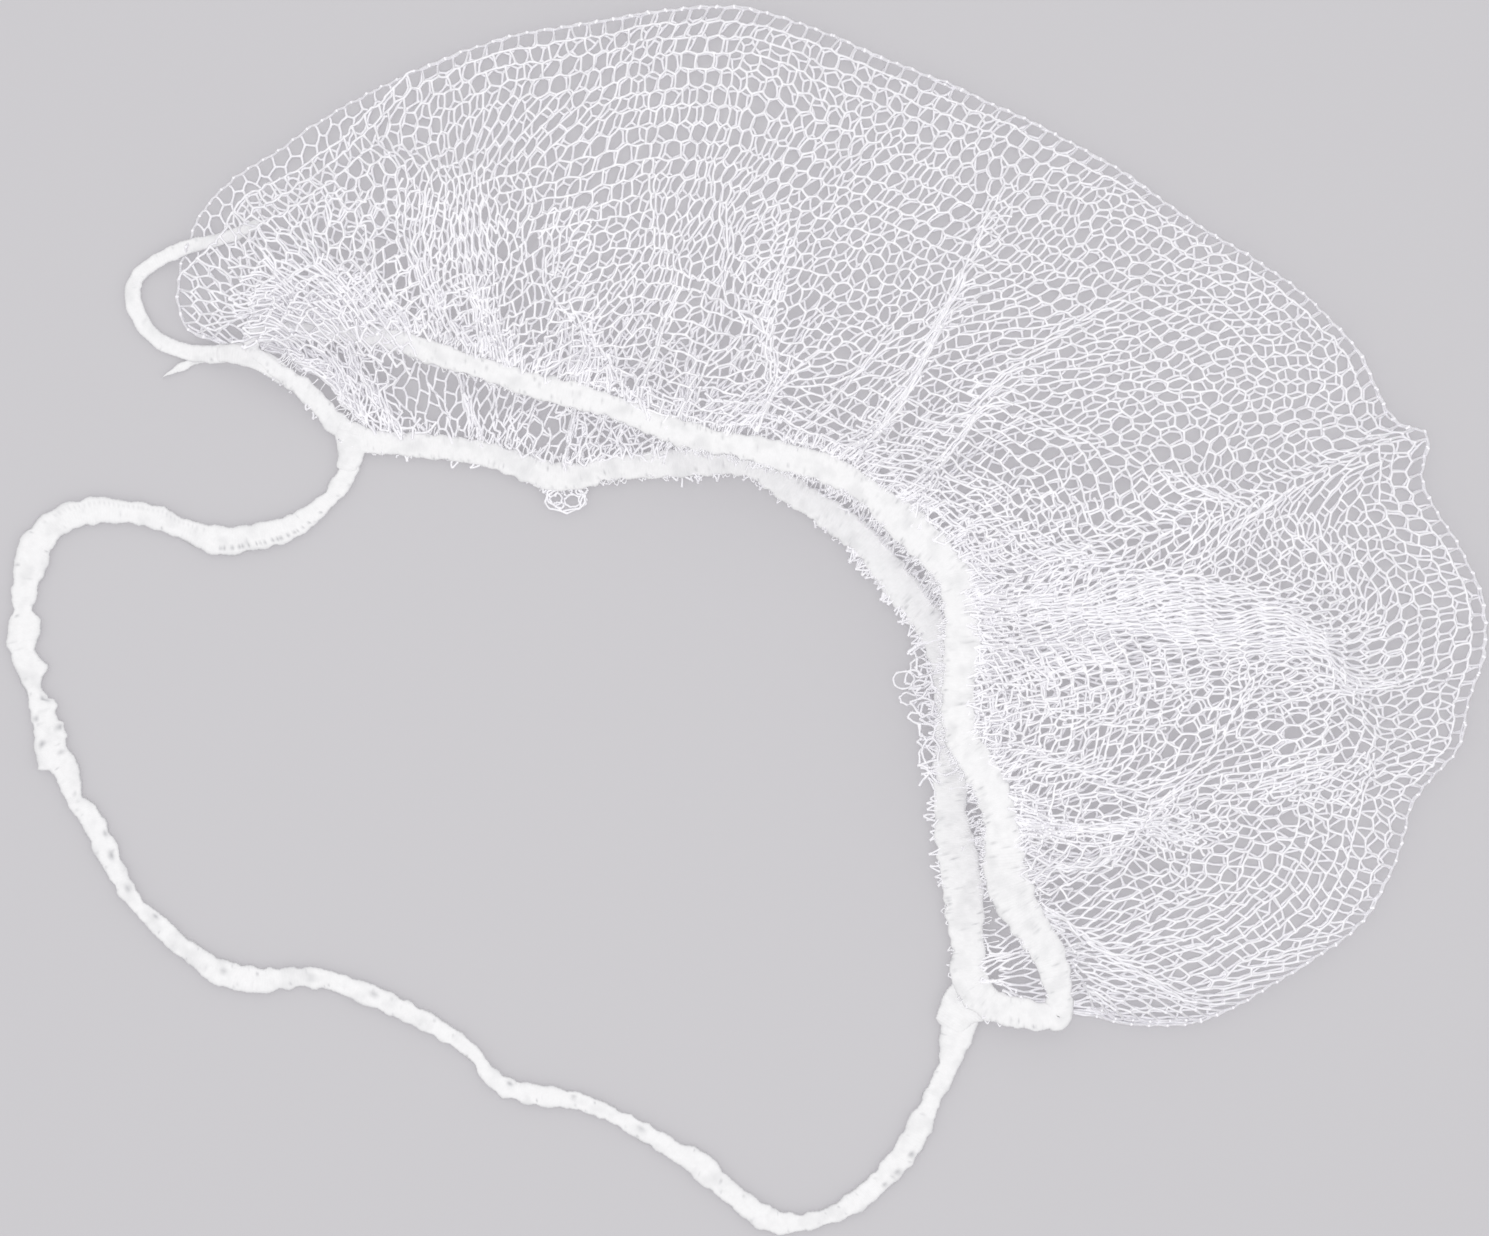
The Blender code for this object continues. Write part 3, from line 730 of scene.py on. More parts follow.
def press_folds(spots, folds):
    """Draw knots in towards the folds, and return how close each then lies."""
    flat = spots.reshape(-1, 2).copy()
    closeness = np.zeros(len(flat))
    number = np.arange(len(flat))
    for points, width, strength in folds:
        path = smooth_line(points, steps=10)
        gap = path[None] - flat[:, None]
        reach = np.linalg.norm(gap, axis=2)
        nearest = reach.argmin(axis=1)
        share = nearest / (len(path) - 1)
        fade = ease((1 - share) / FOLD_FADE) * ease((share + 0.04) / FOLD_START)
        inside = (nearest > 0) & (nearest < len(path) - 1)
        near = np.exp(-((reach[number, nearest] / width) ** 2)) * fade * inside
        flat += gap[number, nearest] * (strength * near)[:, None]
        closeness = np.maximum(closeness, strength * near)
    return flat.reshape(spots.shape), closeness.reshape(spots.shape[:-1])


# %% [markdown]
# ## Heights of the net
# The lower layer lies on the table and rises only to the elastic at the
# corners. The upper layer hangs in a low arch from the front band to the fold,
# held up by its own stiffness and the gathers. At the fold the one turns into
# the other in a small bend.

# %% Heights of the two layers
FLOOR_LAYER = 0.5
FOLD_RADIUS = 1.6
FOLD_TOP = FLOOR_LAYER + 2 * FOLD_RADIUS
LOFT_AT_CORNERS = 5.6
LOFT_GAIN = 8.9
LIFT_REACH = 0.22


def front_level(share, out):
    """Height of the upper layer, lofted between the mouth and the fold."""
    edge = front_height(share)
    loft = LOFT_AT_CORNERS + LOFT_GAIN * np.sin(np.pi * np.clip(share, 0, 1)) ** 0.6
    # a parabola that has the loft's height four tenths of the way out:
    # 0.36 is 0.6 squared, 0.16 is 0.4 squared and 0.24 is 0.6 times 0.4
    bend = (loft - edge * 0.36 - FOLD_TOP * 0.16) / 0.24
    return edge * (1 - out) ** 2 + bend * out * (1 - out) + FOLD_TOP * out**2


def back_level(share, out):
    """Height of the lower layer, on the table except near the mouth."""
    near = np.clip(1 - out / LIFT_REACH, 0, 1) ** 2
    return FLOOR_LAYER + (back_height(share) - FLOOR_LAYER) * near


# %% [markdown]
# ## Knots of one layer
# The rows of knots start at the fold and go in towards the mouth. Where the
# columns lie close together a zigzag is deeper and a cell longer, because its
# threads keep their length. Folds, drift and crumple then move the knots, and
# a few rounds of loosening draw them together wherever a thread would be
# stretched.

# %% Helpers for the rows
def smoothed(values, reach):
    """Average each value with its neighbours, this many to each side."""
    count = 2 * reach + 1
    return np.convolve(np.pad(values, reach, mode="edge"), np.ones(count) / count, "valid")


def zig_depth(pitch):
    """Depth of a zigzag in mm, when its knots are this far apart along the row."""
    return np.sqrt(np.maximum(ZIG**2 - np.minimum(pitch, 1.9) ** 2, 0.25))


def turn_at_fold(height, away, first, inner, side):
    """Bring the outermost knots round the fold; its first row lies on both sides."""
    rise = np.sqrt(np.clip(1 - (1 - np.clip(away / FOLD_RADIUS, 0, 1)) ** 2, 0, 1))
    sides = np.full(height.shape, side)
    sides[0] = np.where(inner[0] < 0, -side, side)
    round_fold = FLOOR_LAYER + FOLD_RADIUS * (1 + sides * rise)
    return np.where((away < FOLD_RADIUS) & (first == 0), round_fold, height)


# %% Threads between the knots
def threads_between(kept):
    """Return the zigzag threads and the links, as pairs of knot numbers."""
    rows, columns = kept.shape
    number = np.arange(rows * columns).reshape(kept.shape)
    zigs = np.stack([number[:, :-1].ravel(), number[:, 1:].ravel()], axis=1)
    row, column = np.meshgrid(np.arange(rows - 1), np.arange(columns), indexing="ij")
    inner = (row + column) % 2 == 0
    links = np.stack([number[:-1][inner], number[1:][inner]], axis=1)
    flat = kept.ravel()
    return zigs[flat[zigs].all(axis=1)], links[flat[links].all(axis=1)]


def without_loose_ends(threads):
    """Drop threads that lead nowhere, so that the last row is a closed one."""
    for _ in range(3):
        meets = np.bincount(threads.ravel())
        threads = threads[(meets[threads] > 1).all(axis=1)]
    return threads


# %% Loosen the net
ZIG_LONGEST = ZIG * 1.15
LINK_LONGEST = LINK * 1.2


def loosen(spots, zigs, links, held, rounds=10):
    """Draw knots together wherever a thread would be longer than it is."""
    flat = spots.reshape(-1, 2).copy()
    pairs = np.vstack([zigs, links])
    longest = np.concatenate([np.full(len(zigs), ZIG_LONGEST), np.full(len(links), LINK_LONGEST)])
    free = ~held.ravel()
    count = np.maximum(np.bincount(pairs.ravel(), minlength=len(flat)), 1)
    for _ in range(rounds):
        gap = flat[pairs[:, 1]] - flat[pairs[:, 0]]
        length = np.linalg.norm(gap, axis=1) + 1e-9
        pull = gap / length[:, None] * (0.5 * np.maximum(length - longest, 0))[:, None]
        for k in range(2):
            moved = np.bincount(pairs[:, 0], pull[:, k], len(flat))
            moved -= np.bincount(pairs[:, 1], pull[:, k], len(flat))
            flat[free, k] += (moved / count * 1.5)[free]
    return flat.reshape(spots.shape)


# %% Rows of knots
GATHERS = 44
MOST_ROWS = 50
# how far a column wanders, as a share of the row, and the mm that stand for
# the whole row where a random field is read at a share
COLUMN_WANDER = 0.0035
FIELD_LENGTH = 300
# rows lie a little closer than free threads would have them, and closer at the mouth
ROW_CLOSENESS = 0.95
MOUTH_CLOSER = 0.32


def rows_of_knots(fold, rim, pleats, small, field, share, first, spare, upper):
    """Lay the rows from the fold inwards, before anything moves their knots."""
    half = np.arange(len(share))
    reach = np.linalg.norm(points_along(rim, share) - points_along(fold, share), axis=1)
    base, rows = first.copy(), []
    while (base <= reach + spare).any() and len(rows) < MOST_ROWS:
        out = np.clip(1 - base / reach, 0, 1)
        wander = COLUMN_WANDER * ease(base / 10)
        place = share + wander * field(share * FIELD_LENGTH, base)
        place = bunch(bunch(place, out, pleats), out, small)
        start, end = points_along(fold, place), points_along(rim, place)
        length = np.linalg.norm(end - start, axis=1)
        way = (end - start) / length[:, None]
        spot = start + way * base[:, None]
        pitch = np.linalg.norm(np.gradient(spot, axis=0), axis=1)
        close = smoothed(pitch, 2)
        inner = np.where((half + len(rows) + upper) % 2 == 0, 1, -1)
        away = first + np.abs(base + inner * zig_depth(close) / 2 - first)
        room = np.clip(close / 1.5, 0.25, 1)
        rows.append((start + way * away[:, None], away, length, place, inner, room))
        step = LINK + zig_depth(smoothed(close, 12))
        closer = MOUTH_CLOSER * ease((0.52 - out) / 0.42)
        base = base + ROW_CLOSENESS * step * (1 - closer)
    return [np.stack(part) for part in zip(*rows)]


# %% Drift and crumple
# sizes in mm of the fields that shift the columns, drift the knots and crumple them
WARP_SIZES = (45, 30, 30, 11, 11, 6, 6)
# how far in mm the fields move the knots; DRIFT scales the wide and the short one together
WIDE_DRIFT = 0.8
SHORT_DRIFT = 0.55
DRIFT = 0.5
CRUMPLE = 0.55
KNOT_JITTER = 0.2


def uneven_knots(spots, away, out, room, fields, rng):
    """Move the knots a little, least at the fold and where there is no room."""
    x, y = spots[..., 0], spots[..., 1]
    drift = np.stack([WIDE_DRIFT * fields[1](x, y) + SHORT_DRIFT * fields[3](x, y),
                      WIDE_DRIFT * fields[2](x, y) + SHORT_DRIFT * fields[4](x, y)], axis=-1)
    near_mouth = ease((0.5 - out) / 0.4)
    crumple = np.stack([fields[5](x, y), fields[6](x, y)], axis=-1) * near_mouth[..., None]
    jitter = rng.normal(0, KNOT_JITTER, spots.shape)
    uneven = DRIFT * drift + room[..., None] * (CRUMPLE * crumple + jitter)
    return spots + (0.25 + 0.75 * ease(away / 5))[..., None] * uneven


# %% Knots of one layer
# in mm
HEIGHT_JITTER = 0.35
CREASE_HEIGHT = 1.8
LOWEST_KNOT = 0.4


def net_layer(rim_points, pleats, folds, seed, level, upper, inset, over):
    """Return the knots of one layer in mm and its threads as pairs of knots."""
    share = np.arange(2 * COLUMNS + 1) / (2 * COLUMNS)
    first, spare = inset(share), over(share)
    small = gathers(seed, GATHERS)
    fields = [Waves(seed + k, size) for k, size in enumerate(WARP_SIZES)]
    rng = np.random.default_rng(seed)
    spots, away, length, place, inner, room = rows_of_knots(
        smooth_line(FOLD_LINE), smooth_line(rim_points), pleats, small, fields[0],
        share, first, spare, upper)
    out = np.clip(1 - away / length, 0, 1)
    spots = uneven_knots(spots, away, out, room, fields, rng)
    spots, closeness = press_folds(spots, folds)
    zigs, links = threads_between(away <= length + spare)
    spots = loosen(spots, zigs, links, away <= first + 1.5)
    folded = pleat_rise(place, out, pleats + small) + CREASE_HEIGHT * closeness
    height = level(place, out) + folded * ease(out * 8)
    height += HEIGHT_JITTER * rng.normal(0, 1, height.shape) * ease(away / 4)
    height = turn_at_fold(height, away, first, inner, 1 if upper else -1)
    height = np.maximum(height, LOWEST_KNOT)
    knots = np.concatenate([spots, height[..., None]], axis=-1)
    threads = without_loose_ends(np.vstack([zigs, links]))
    return {"knots": knots.reshape(-1, 3), "threads": threads,
            "place": place.ravel(), "out": out.ravel()}


# %% [markdown]
# ## Thread
# Each thread of the knit runs from knot to knot. Drawing some thirty thousand
# tubes by hand would be slow, so a Geometry Nodes tree does it: it takes one
# straight edge for each thread, gives it a few points, bows it a little at
# random, and sweeps a small circle along it that swells at the knots. The same
# tree makes the cut ends and the loose hairs.

# %% Helpers for node trees
def wire(tree, end, value):
    """Link another node's socket to an input, or set the input to a value."""
    if isinstance(value, bpy.types.NodeSocket):
        tree.links.new(value, end)
    else:
        end.default_value = value


def fill(tree, node, **inputs):
    """Fill a node's inputs by name, and return its outputs."""
    for name, value in inputs.items():
        wire(tree, node.inputs[name.replace("_", " ")], value)
    return node.outputs


def add(tree, kind, **inputs):
    """Add a node, fill its inputs by name, and return its outputs."""
    return fill(tree, tree.nodes.new(kind), **inputs)


def math_node(tree, operation, *values):
    """Add a Math node, fill its inputs in order, and return its result."""
    made = tree.nodes.new("ShaderNodeMath")
    made.operation = operation
    for end, value in zip(made.inputs, values):
        wire(tree, end, value)
    return made.outputs[0]


# %% Tree that turns edges into thread
# name, kind and default of each input
THREAD_INPUTS = (
    ("Edges", "NodeSocketGeometry", None), ("Radius", "NodeSocketFloat", 0.00025),
    ("Knot Swell", "NodeSocketFloat", 0.35), ("Bow", "NodeSocketFloat", 0.0002),
    ("Points", "NodeSocketInt", 4), ("Sides", "NodeSocketInt", 4),
    ("Seed", "NodeSocketInt", 1), ("Material", "NodeSocketMaterial", None),
)


def new_thread_tree():
    """Make an empty tree with its inputs and its output."""
    tree = bpy.data.node_groups.new("thread_from_edges", "GeometryNodeTree")
    for name, kind, default in THREAD_INPUTS:
        made = tree.interface.new_socket(name, in_out="INPUT", socket_type=kind)
        if default is not None:
            made.default_value = default
    tree.interface.new_socket("Thread", in_out="OUTPUT", socket_type="NodeSocketGeometry")
    return tree


def random_way(tree, seed):
    """Return one random direction for each thread."""
    which = tree.nodes.new("GeometryNodeFieldOnDomain")
    which.domain = "CURVE"
    which.data_type = "INT"
    index = add(tree, "GeometryNodeInputIndex")["Index"]
    number = fill(tree, which, Value=index)["Value"]
    random = tree.nodes.new("FunctionNodeRandomValue")
    random.data_type = "FLOAT_VECTOR"
    return fill(tree, random, Min=(-1, -1, -1), Max=(1, 1, 1), ID=number, Seed=seed)["Value"]


def make_thread_tree():
    """Edges in, swollen tubes out."""
    tree = new_thread_tree()
    given = add(tree, "NodeGroupInput")
    curve = add(tree, "GeometryNodeMeshToCurve", Mesh=given["Edges"])["Curve"]
    points = add(tree, "GeometryNodeResampleCurve", Curve=curve, Count=given["Points"])["Curve"]
    share = add(tree, "GeometryNodeSplineParameter")["Factor"]
    # from -1 to 1 along a thread, so its square is 0 half way and 1 at both knots
    centred = math_node(tree, "MULTIPLY_ADD", share, 2.0, -1.0)
    squared = math_node(tree, "MULTIPLY", centred, centred)
    fourth = math_node(tree, "MULTIPLY", squared, squared)
    swell = math_node(tree, "MULTIPLY", fourth, given["Knot Swell"])
    bow = math_node(tree, "MULTIPLY", math_node(tree, "SUBTRACT", 1.0, squared), given["Bow"])
    scaled = tree.nodes.new("ShaderNodeVectorMath")
    scaled.operation = "SCALE"
    shift = fill(tree, scaled, Vector=random_way(tree, given["Seed"]), Scale=bow)["Vector"]
    bowed = add(tree, "GeometryNodeSetPosition", Geometry=points, Offset=shift)["Geometry"]
    ring = add(tree, "GeometryNodeCurvePrimitiveCircle",
               Resolution=given["Sides"], Radius=given["Radius"])["Curve"]
    tube = add(tree, "GeometryNodeCurveToMesh", Curve=bowed, Profile_Curve=ring,
               Scale=math_node(tree, "ADD", 1.0, swell), Fill_Caps=True)["Mesh"]
    smooth = add(tree, "GeometryNodeSetShadeSmooth", Geometry=tube)["Geometry"]
    whole = add(tree, "GeometryNodeRealizeInstances", Geometry=smooth)["Geometry"]
    finished = add(tree, "GeometryNodeSetMaterial",
                   Geometry=whole, Material=given["Material"])["Geometry"]
    add(tree, "NodeGroupOutput", Thread=finished)
    return tree


thread_tree = make_thread_tree()
print("nodes in the thread tree:", len(thread_tree.nodes))

# %% Materials to start with
net_thread = bpy.data.materials.new("net_thread")
knit_elastic = bpy.data.materials.new("knit_elastic")


# %% Threads as one piece
def thread_piece(name, starts, ends, replaced, **sizes):
    """Make one mesh of threads from their end points in mm."""
    places = np.stack([starts, ends], axis=1).reshape(-1, 3) * MM
    pairs = np.arange(len(places)).reshape(-1, 2)
    mesh = bpy.data.meshes.new(name + "_edges")
    mesh.from_pydata(places.tolist(), pairs.tolist(), [])
    source = bpy.data.objects.new(name + "_edges", mesh)
    bpy.context.scene.collection.objects.link(source)
    modifier = source.modifiers.new("thread", "NODES")
    modifier.node_group = thread_tree
    wanted = {"Material": net_thread, **sizes}
    for item in thread_tree.interface.items_tree:
        if item.in_out == "INPUT" and item.name in wanted:
            modifier[item.identifier] = wanted[item.name]
    graph = bpy.context.evaluated_depsgraph_get()
    made = bpy.data.meshes.new_from_object(source.evaluated_get(graph))
    bpy.data.objects.remove(source)
    made.name = name
    item = bpy.data.objects.new(name, made)
    bpy.context.scene.collection.objects.link(item)
    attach(item, "root")
    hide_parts(replaced)
    made.calc_loop_triangles()
    print(name, "threads:", len(starts), "triangles:", len(made.loop_triangles))


# %% [markdown]
# ## Two layers
# Both layers are made by the same steps, each from its own description. At
# the far left the real net is a single layer, so the upper one starts further
# in there. Near the right corner the two layers lie in register, knot nearly
# over knot, so that they look like one clean net: there each knot of the lower
# layer moves most of the way to the nearest one of the upper layer.

# %% Edges of the two layers
def patch_inset(share):
    """The upper layer's fold lies further in at the left, in mm."""
    return 5.0 * ease((share - 0.03) / 0.03) * ease((0.17 - share) / 0.03)


def no_inset(share):
    """The lower layer reaches the fold everywhere."""
    return np.zeros(share.shape)


def even_spare(amount):
    """Net in mm that goes on past the gathered edge, under the elastic."""
    return lambda share: np.full(share.shape, amount)


def back_spare(share):
    """Net in mm past the back edge, where it bulges out in one place."""
    return 3.0 + 9.5 * ease(1.6 - 1.6 * np.abs(share - 0.725) / 0.07)


# %% What each layer is made from
FRONT = {"rim_points": FRONT_RIM, "pleats": FRONT_PLEATS, "folds": FRONT_FOLDS,
         "level": front_level, "upper": True, "inset": patch_inset}
BACK = {"rim_points": BACK_RIM, "pleats": BACK_PLEATS, "folds": BACK_FOLDS,
        "level": back_level, "upper": False, "inset": no_inset}


# %% Both layers
# middle and reach in mm of the place where the layers lie in register
REGISTER_MIDDLE = (106, -24)
REGISTER_REACH = (24, 32)
REGISTER_SEARCH = 60
REGISTER_PULL = 0.92


def layer_pieces(name, layer, **sizes):
    """Make one layer in two pieces, left and right."""
    ends = layer["knots"][layer["threads"]]
    middle = ends.mean(axis=1)[:, 0]
    half_way = np.median(middle)
    for side, chosen in (("left", middle < half_way), ("right", middle >= half_way)):
        thread_piece(f"{name}_{side}", ends[chosen, 0], ends[chosen, 1], "net_pouch", **sizes)


def lay_in_register(lower, upper):
    """Lay the lower layer's knots under the upper layer's, near the right corner."""
    spots, targets = lower["knots"], upper["knots"]
    offset = (spots[:, :2] - REGISTER_MIDDLE) / REGISTER_REACH
    near = np.exp(-((offset**2).sum(axis=1) ** 2))
    chosen = np.flatnonzero(near > 0.02)
    targets = targets[np.abs(targets[:, 0] - REGISTER_MIDDLE[0]) < REGISTER_SEARCH]
    gap = targets[None, :, :2] - spots[chosen, None, :2]
    nearest = np.linalg.norm(gap, axis=2).argmin(axis=1)
    step = gap[np.arange(len(chosen)), nearest]
    spots[chosen, :2] += REGISTER_PULL * near[chosen, None] * step


upper_net = net_layer(**FRONT, seed=11, over=even_spare(3.0))
lower_net = net_layer(**BACK, seed=31, over=back_spare)
lay_in_register(lower_net, upper_net)
layer_pieces("net_front", upper_net, Seed=3)
layer_pieces("net_back", lower_net, Seed=4, Points=3)

# %% [markdown]
# ## Pleats that lie on the net
# Where the gathers are deepest the net has folded over, so that three or four
# thicknesses lie on each other and the net looks milky. Each such pleat is a
# part of one more layer, from the mouth outwards, with knots of its own. The
# last one of the front runs along the whole mouth.

# %% Laid pleats
LAID_RADIUS = 0.00024
LAID_RAGGED = 0.22
LAID_NARROWING = 0.6
# share along the mouth, share along the fold, half width as a share, reach,
# mm past the gathered edge, mm above the layer
FRONT_LAID = (
    (0.655, 0.775, 0.110, 0.78, 3.0, 0.3), (0.668, 0.796, 0.056, 0.66, 4.0, 0.6),
    (0.500, 0.440, 0.014, 0.86, 3.0, 0.3),
    (0.530, 0.520, 0.020, 0.50, 3.0, 0.3), (0.890, 0.760, 0.028, 0.72, 3.0, 0.3),
    (0.780, 0.820, 0.060, 0.40, 3.0, 0.3), (0.285, 0.200, 0.022, 0.42, 3.0, 0.3),
    (0.410, 0.320, 0.020, 0.60, 3.0, 0.3), (0.060, 0.120, 0.075, 0.82, 5.5, 0.9),
    (0.040, 0.090, 0.070, 0.62, 4.0, 0.8), (0.150, 0.180, 0.060, 0.52, 3.0, 0.3),
    (0.500, 0.500, 0.900, 0.07, 4.0, 0.2),
)
BACK_LAID = (
    (0.020, 0.050, 0.075, 0.50, 5.0, 0.6), (0.050, 0.080, 0.070, 0.50, 3.0, 0.9),
    (0.070, 0.090, 0.050, 0.36, 3.0, 1.3), (0.300, 0.300, 0.060, 0.30, 3.0, 0.5),
    (0.285, 0.280, 0.045, 0.24, 3.0, 0.9), (0.730, 0.730, 0.050, 0.10, 11.0, 0.6),
)


def laid_pleat(layer, seed, mouth, fold, half_width, reach, past, lift):
    """Return the end points of the threads of one pleat."""
    made = net_layer(**layer, seed=seed, over=even_spare(past))
    place, out = made["place"], made["out"]
    ragged = 1 + LAID_RAGGED * Waves(seed, 22.0)(place * FIELD_LENGTH, out * 60)
    beyond = np.abs(place - mouth - (fold - mouth) * out)
    narrowed = half_width * (1 - LAID_NARROWING * out)
    inside = (beyond < narrowed * ragged) & (out < reach * ragged)
    threads = made["threads"]
    ends = made["knots"][threads[inside[threads].all(axis=1)]]
    return ends + (0, 0, lift)


def laid_pleats(name, layer, rows, first_seed):
    """Make the pleats of one layer as one piece of finer thread."""
    pleats = [laid_pleat(layer, first_seed + 10 * k, *row) for k, row in enumerate(rows)]
    ends = np.vstack(pleats)
    thread_piece(name, ends[:, 0], ends[:, 1], "net_pouch",
                 Radius=LAID_RADIUS, Points=3, Seed=5)


laid_pleats("net_front_pleats", FRONT, FRONT_LAID, 50)
laid_pleats("net_back_pleats", BACK, BACK_LAID, 300)

# %% [markdown]
# ## Net over the left corner
# At the left corner the net has slipped over the band and hides its end. Four
# pieces of the upper layer lie there, each a step further over the band.

# %% Net over the corner
# a row as in the tables of laid pleats, and the step in mm from one to the next
CORNER_LAID = (0.03, 0.08, 0.085, 0.34, 3.0, 1.3)
COVER_STEP = np.array((0.9, -1.5, 0))

covers = []
for step in range(1, 5):
    cover = laid_pleat(FRONT, 200 + step, *CORNER_LAID)
    covers.append(cover + COVER_STEP * step)
covers = np.vstack(covers)
thread_piece("net_corner_cover", covers[:, 0], covers[:, 1], "net_pouch",
             Radius=LAID_RADIUS, Points=3, Seed=8)

# %% [markdown]
# ## Edge of the net along the elastic
# The net was cut before it was sewn in, so loops and pointed ends of its cells
# stand out along the elastic. They are longest along the right of the back
# edge, and in two places a few open cells bulge out below the band. On the
# net's side the threads run on over the elastic's edge.

# %% Directions along the mouth
mouth_ahead = np.roll(mouth_middle, -4, axis=0) - mouth_middle
mouth_ahead[:, 2] = 0
mouth_ahead /= np.linalg.norm(mouth_ahead, axis=1)[:, None]
mouth_aside = np.stack([-mouth_ahead[:, 1], mouth_ahead[:, 0], 0 * mouth_ahead[:, 0]], axis=1)


# %% Teeth, fringe and rungs
def edge_threads(seed, count, side, length, stretch, foot=0.0, start=(0.34, 0.5), lean=0.45):
    """Return threads that stand out from one edge; with a foot they are pointed loops."""
    rng = np.random.default_rng(seed)
    number = (rng.uniform(*stretch, count) * mouth_count).astype(int) % mouth_count
    ahead, aside = mouth_ahead[number], side * mouth_aside[number]
    off_middle = mouth_width[number] * rng.uniform(*start, count)
    root = mouth_middle[number] + aside * off_middle[:, None]
    root[:, 2] += rng.uniform(-0.2, 0.5, count)
    turn = rng.normal(0, lean, count)[:, None]
    way = aside * np.cos(turn) + ahead * np.sin(turn)
    tip = root + way * rng.uniform(*length, count)[:, None]
    tip[:, 2] += rng.normal(0.2, 0.25, count)
    feet = [root - ahead * foot, root + ahead * foot] if foot else [root]
    pairs = np.vstack([np.stack([place, tip], axis=1) for place in feet])
    pairs[..., 2] = np.maximum(pairs[..., 2], 0.3)
    return pairs


def rungs(count, reach):
    """Return short threads across the slit between the front and the back band."""
    halves = np.array_split(mouth_middle, 2)
    found = []
    rng = np.random.default_rng(77)
    for x in np.sort(rng.uniform(*reach, count)):
        front, back = (half[np.abs(half[:, 0] - x).argmin()] for half in halves)
        upper_end = front - (rng.uniform(-0.3, 1.2), 2.4, 0.4)
        lower_end = back + (rng.uniform(-0.2, 1.6), 2.4, 0.4)
        found.append((upper_end, lower_end))
    return np.array(found)


def open_cells(cells, height):
    """Return the threads round open cells: x, y, half width, half height in mm."""
    turn = math.radians(VIEW_TURN)
    rng = np.random.default_rng(78)
    found = []
    for x, y, wide, high in cells:
        angle = np.linspace(0, 2 * np.pi, 9) + rng.uniform(0, 1)
        angle[1:-1] += rng.normal(0, 0.12, 7)
        right, up = wide * np.cos(angle), high * np.sin(angle)
        ring = np.stack([x + right * math.cos(turn) - up * math.sin(turn),
                         y + right * math.sin(turn) + up * math.cos(turn),
                         height + 0.3 * np.sin(2 * angle + x)], axis=1)
        found.append(np.stack([ring[:-1], ring[1:]], axis=1))
    return np.vstack(found)


# %% Fringe and open cells
# middle x and y, half width and half height of each open cell, in mm
BULGE_CELLS = (
    (34.4, -30.9, 2.2, 1.9), (33.4, -34.9, 2.1, 1.8), (37.4, -33.7, 2.2, 1.7),
    (36.6, -37.2, 1.9, 1.2), (40.6, -36.2, 1.8, 1.3), (-40.5, -50.1, 1.6, 1.3),
    (-43.2, -51.9, 1.3, 1.2), (-41.9, -50.8, 4.0, 2.9), (-41.6, -50.5, 3.8, 2.6),
    (-40.3, -47.4, 1.2, 0.8), (-42.3, -49.3, 0.9, 0.8), (-44.7, -51.5, 1.1, 0.9),
    (-39.0, -48.6, 0.8, 1.2), (-42.0, -52.4, 1.0, 0.6),
)
fringe = np.vstack([
    edge_threads(71, 420, 1, (1.5, 4.0), (0, 0.47), start=(0.25, 0.45), lean=0.2),
    edge_threads(72, 300, -1, (1.5, 3.5), (0.53, 0.98), start=(0.25, 0.45), lean=0.2),
    edge_threads(73, 150, -1, (0.4, 1.0), (0.02, 0.47), foot=0.5),
    edge_threads(80, 260, -1, (0.8, 1.9), (0.16, 0.42), foot=0.3, start=(0.36, 0.48), lean=0.3),
    edge_threads(74, 110, 1, (0.4, 1.1), (0.50, 0.83), foot=0.5),
    edge_threads(79, 40, 1, (0.2, 0.7), (0.83, 0.98), foot=0.2),
])
thread_piece("mouth_fringe", fringe[:, 0], fringe[:, 1], "mouth_elastic",
             Radius=0.00014, Seed=6, Bow=0.0003, Points=3, Sides=3)
cells = np.vstack([
    edge_threads(75, 60, 1, (0.8, 2.7), (0.56, 0.71), foot=0.6),
    edge_threads(76, 16, 1, (0.9, 1.8), (0.71, 0.95), foot=0.6),
    rungs(20, (3.0, 31.0)), open_cells(BULGE_CELLS, 1.6),
    [((-27.9, -30.9, 1.6), (-25.4, -33.9, 1.2))],
])
thread_piece("mouth_open_cells", cells[:, 0], cells[:, 1], "mouth_elastic",
             Radius=0.00022, Seed=7)

# %% [markdown]
# ## Finishes
# The thread is a slightly glossy synthetic, white with a breath of violet. The elastic is whiter
# and quite matt. Its holes and edges are painted darker: along the edges this is painted shade,
# and in a hole it stands for the table seen through it and for the shade in the dent. Both are
# node materials that vary slightly over the surface, because an even white would look like
# plastic.

# %% Finish helpers
def start_finish(material, roughness, sheen):
    """Switch nodes on and set what is the same all over."""
    material.use_nodes = True
    tree = material.node_tree
    shader = tree.nodes["Principled BSDF"]
    fill(tree, shader, Roughness=roughness, Sheen_Weight=sheen, Sheen_Roughness=0.5)
    return tree, shader


def noise(tree, where, scale, detail):
    """Return the value of a noise that lies fixed on the piece."""
    return add(tree, "ShaderNodeTexNoise",
               Vector=where["Object"], Scale=scale, Detail=detail)["Fac"]


def two_tone(tree, value, first, second):
    """Mix two colours by a value; each may be another node's colour."""
    mix = tree.nodes.new("ShaderNodeMix")
    mix.data_type = "RGBA"
    return fill(tree, mix, Factor=value, A=first, B=second)["Result"]


def bumped(tree, height, strength, distance, **below):
    """Return the normal of a bump, on top of another bump given as Normal."""
    return add(tree, "ShaderNodeBump", Height=height,
               Strength=strength, Distance=distance, **below)["Normal"]


# %% Thread finish
THREAD_SHADE = (0.86, 0.85, 0.89, 1)
THREAD_LIGHT = (0.94, 0.93, 0.955, 1)

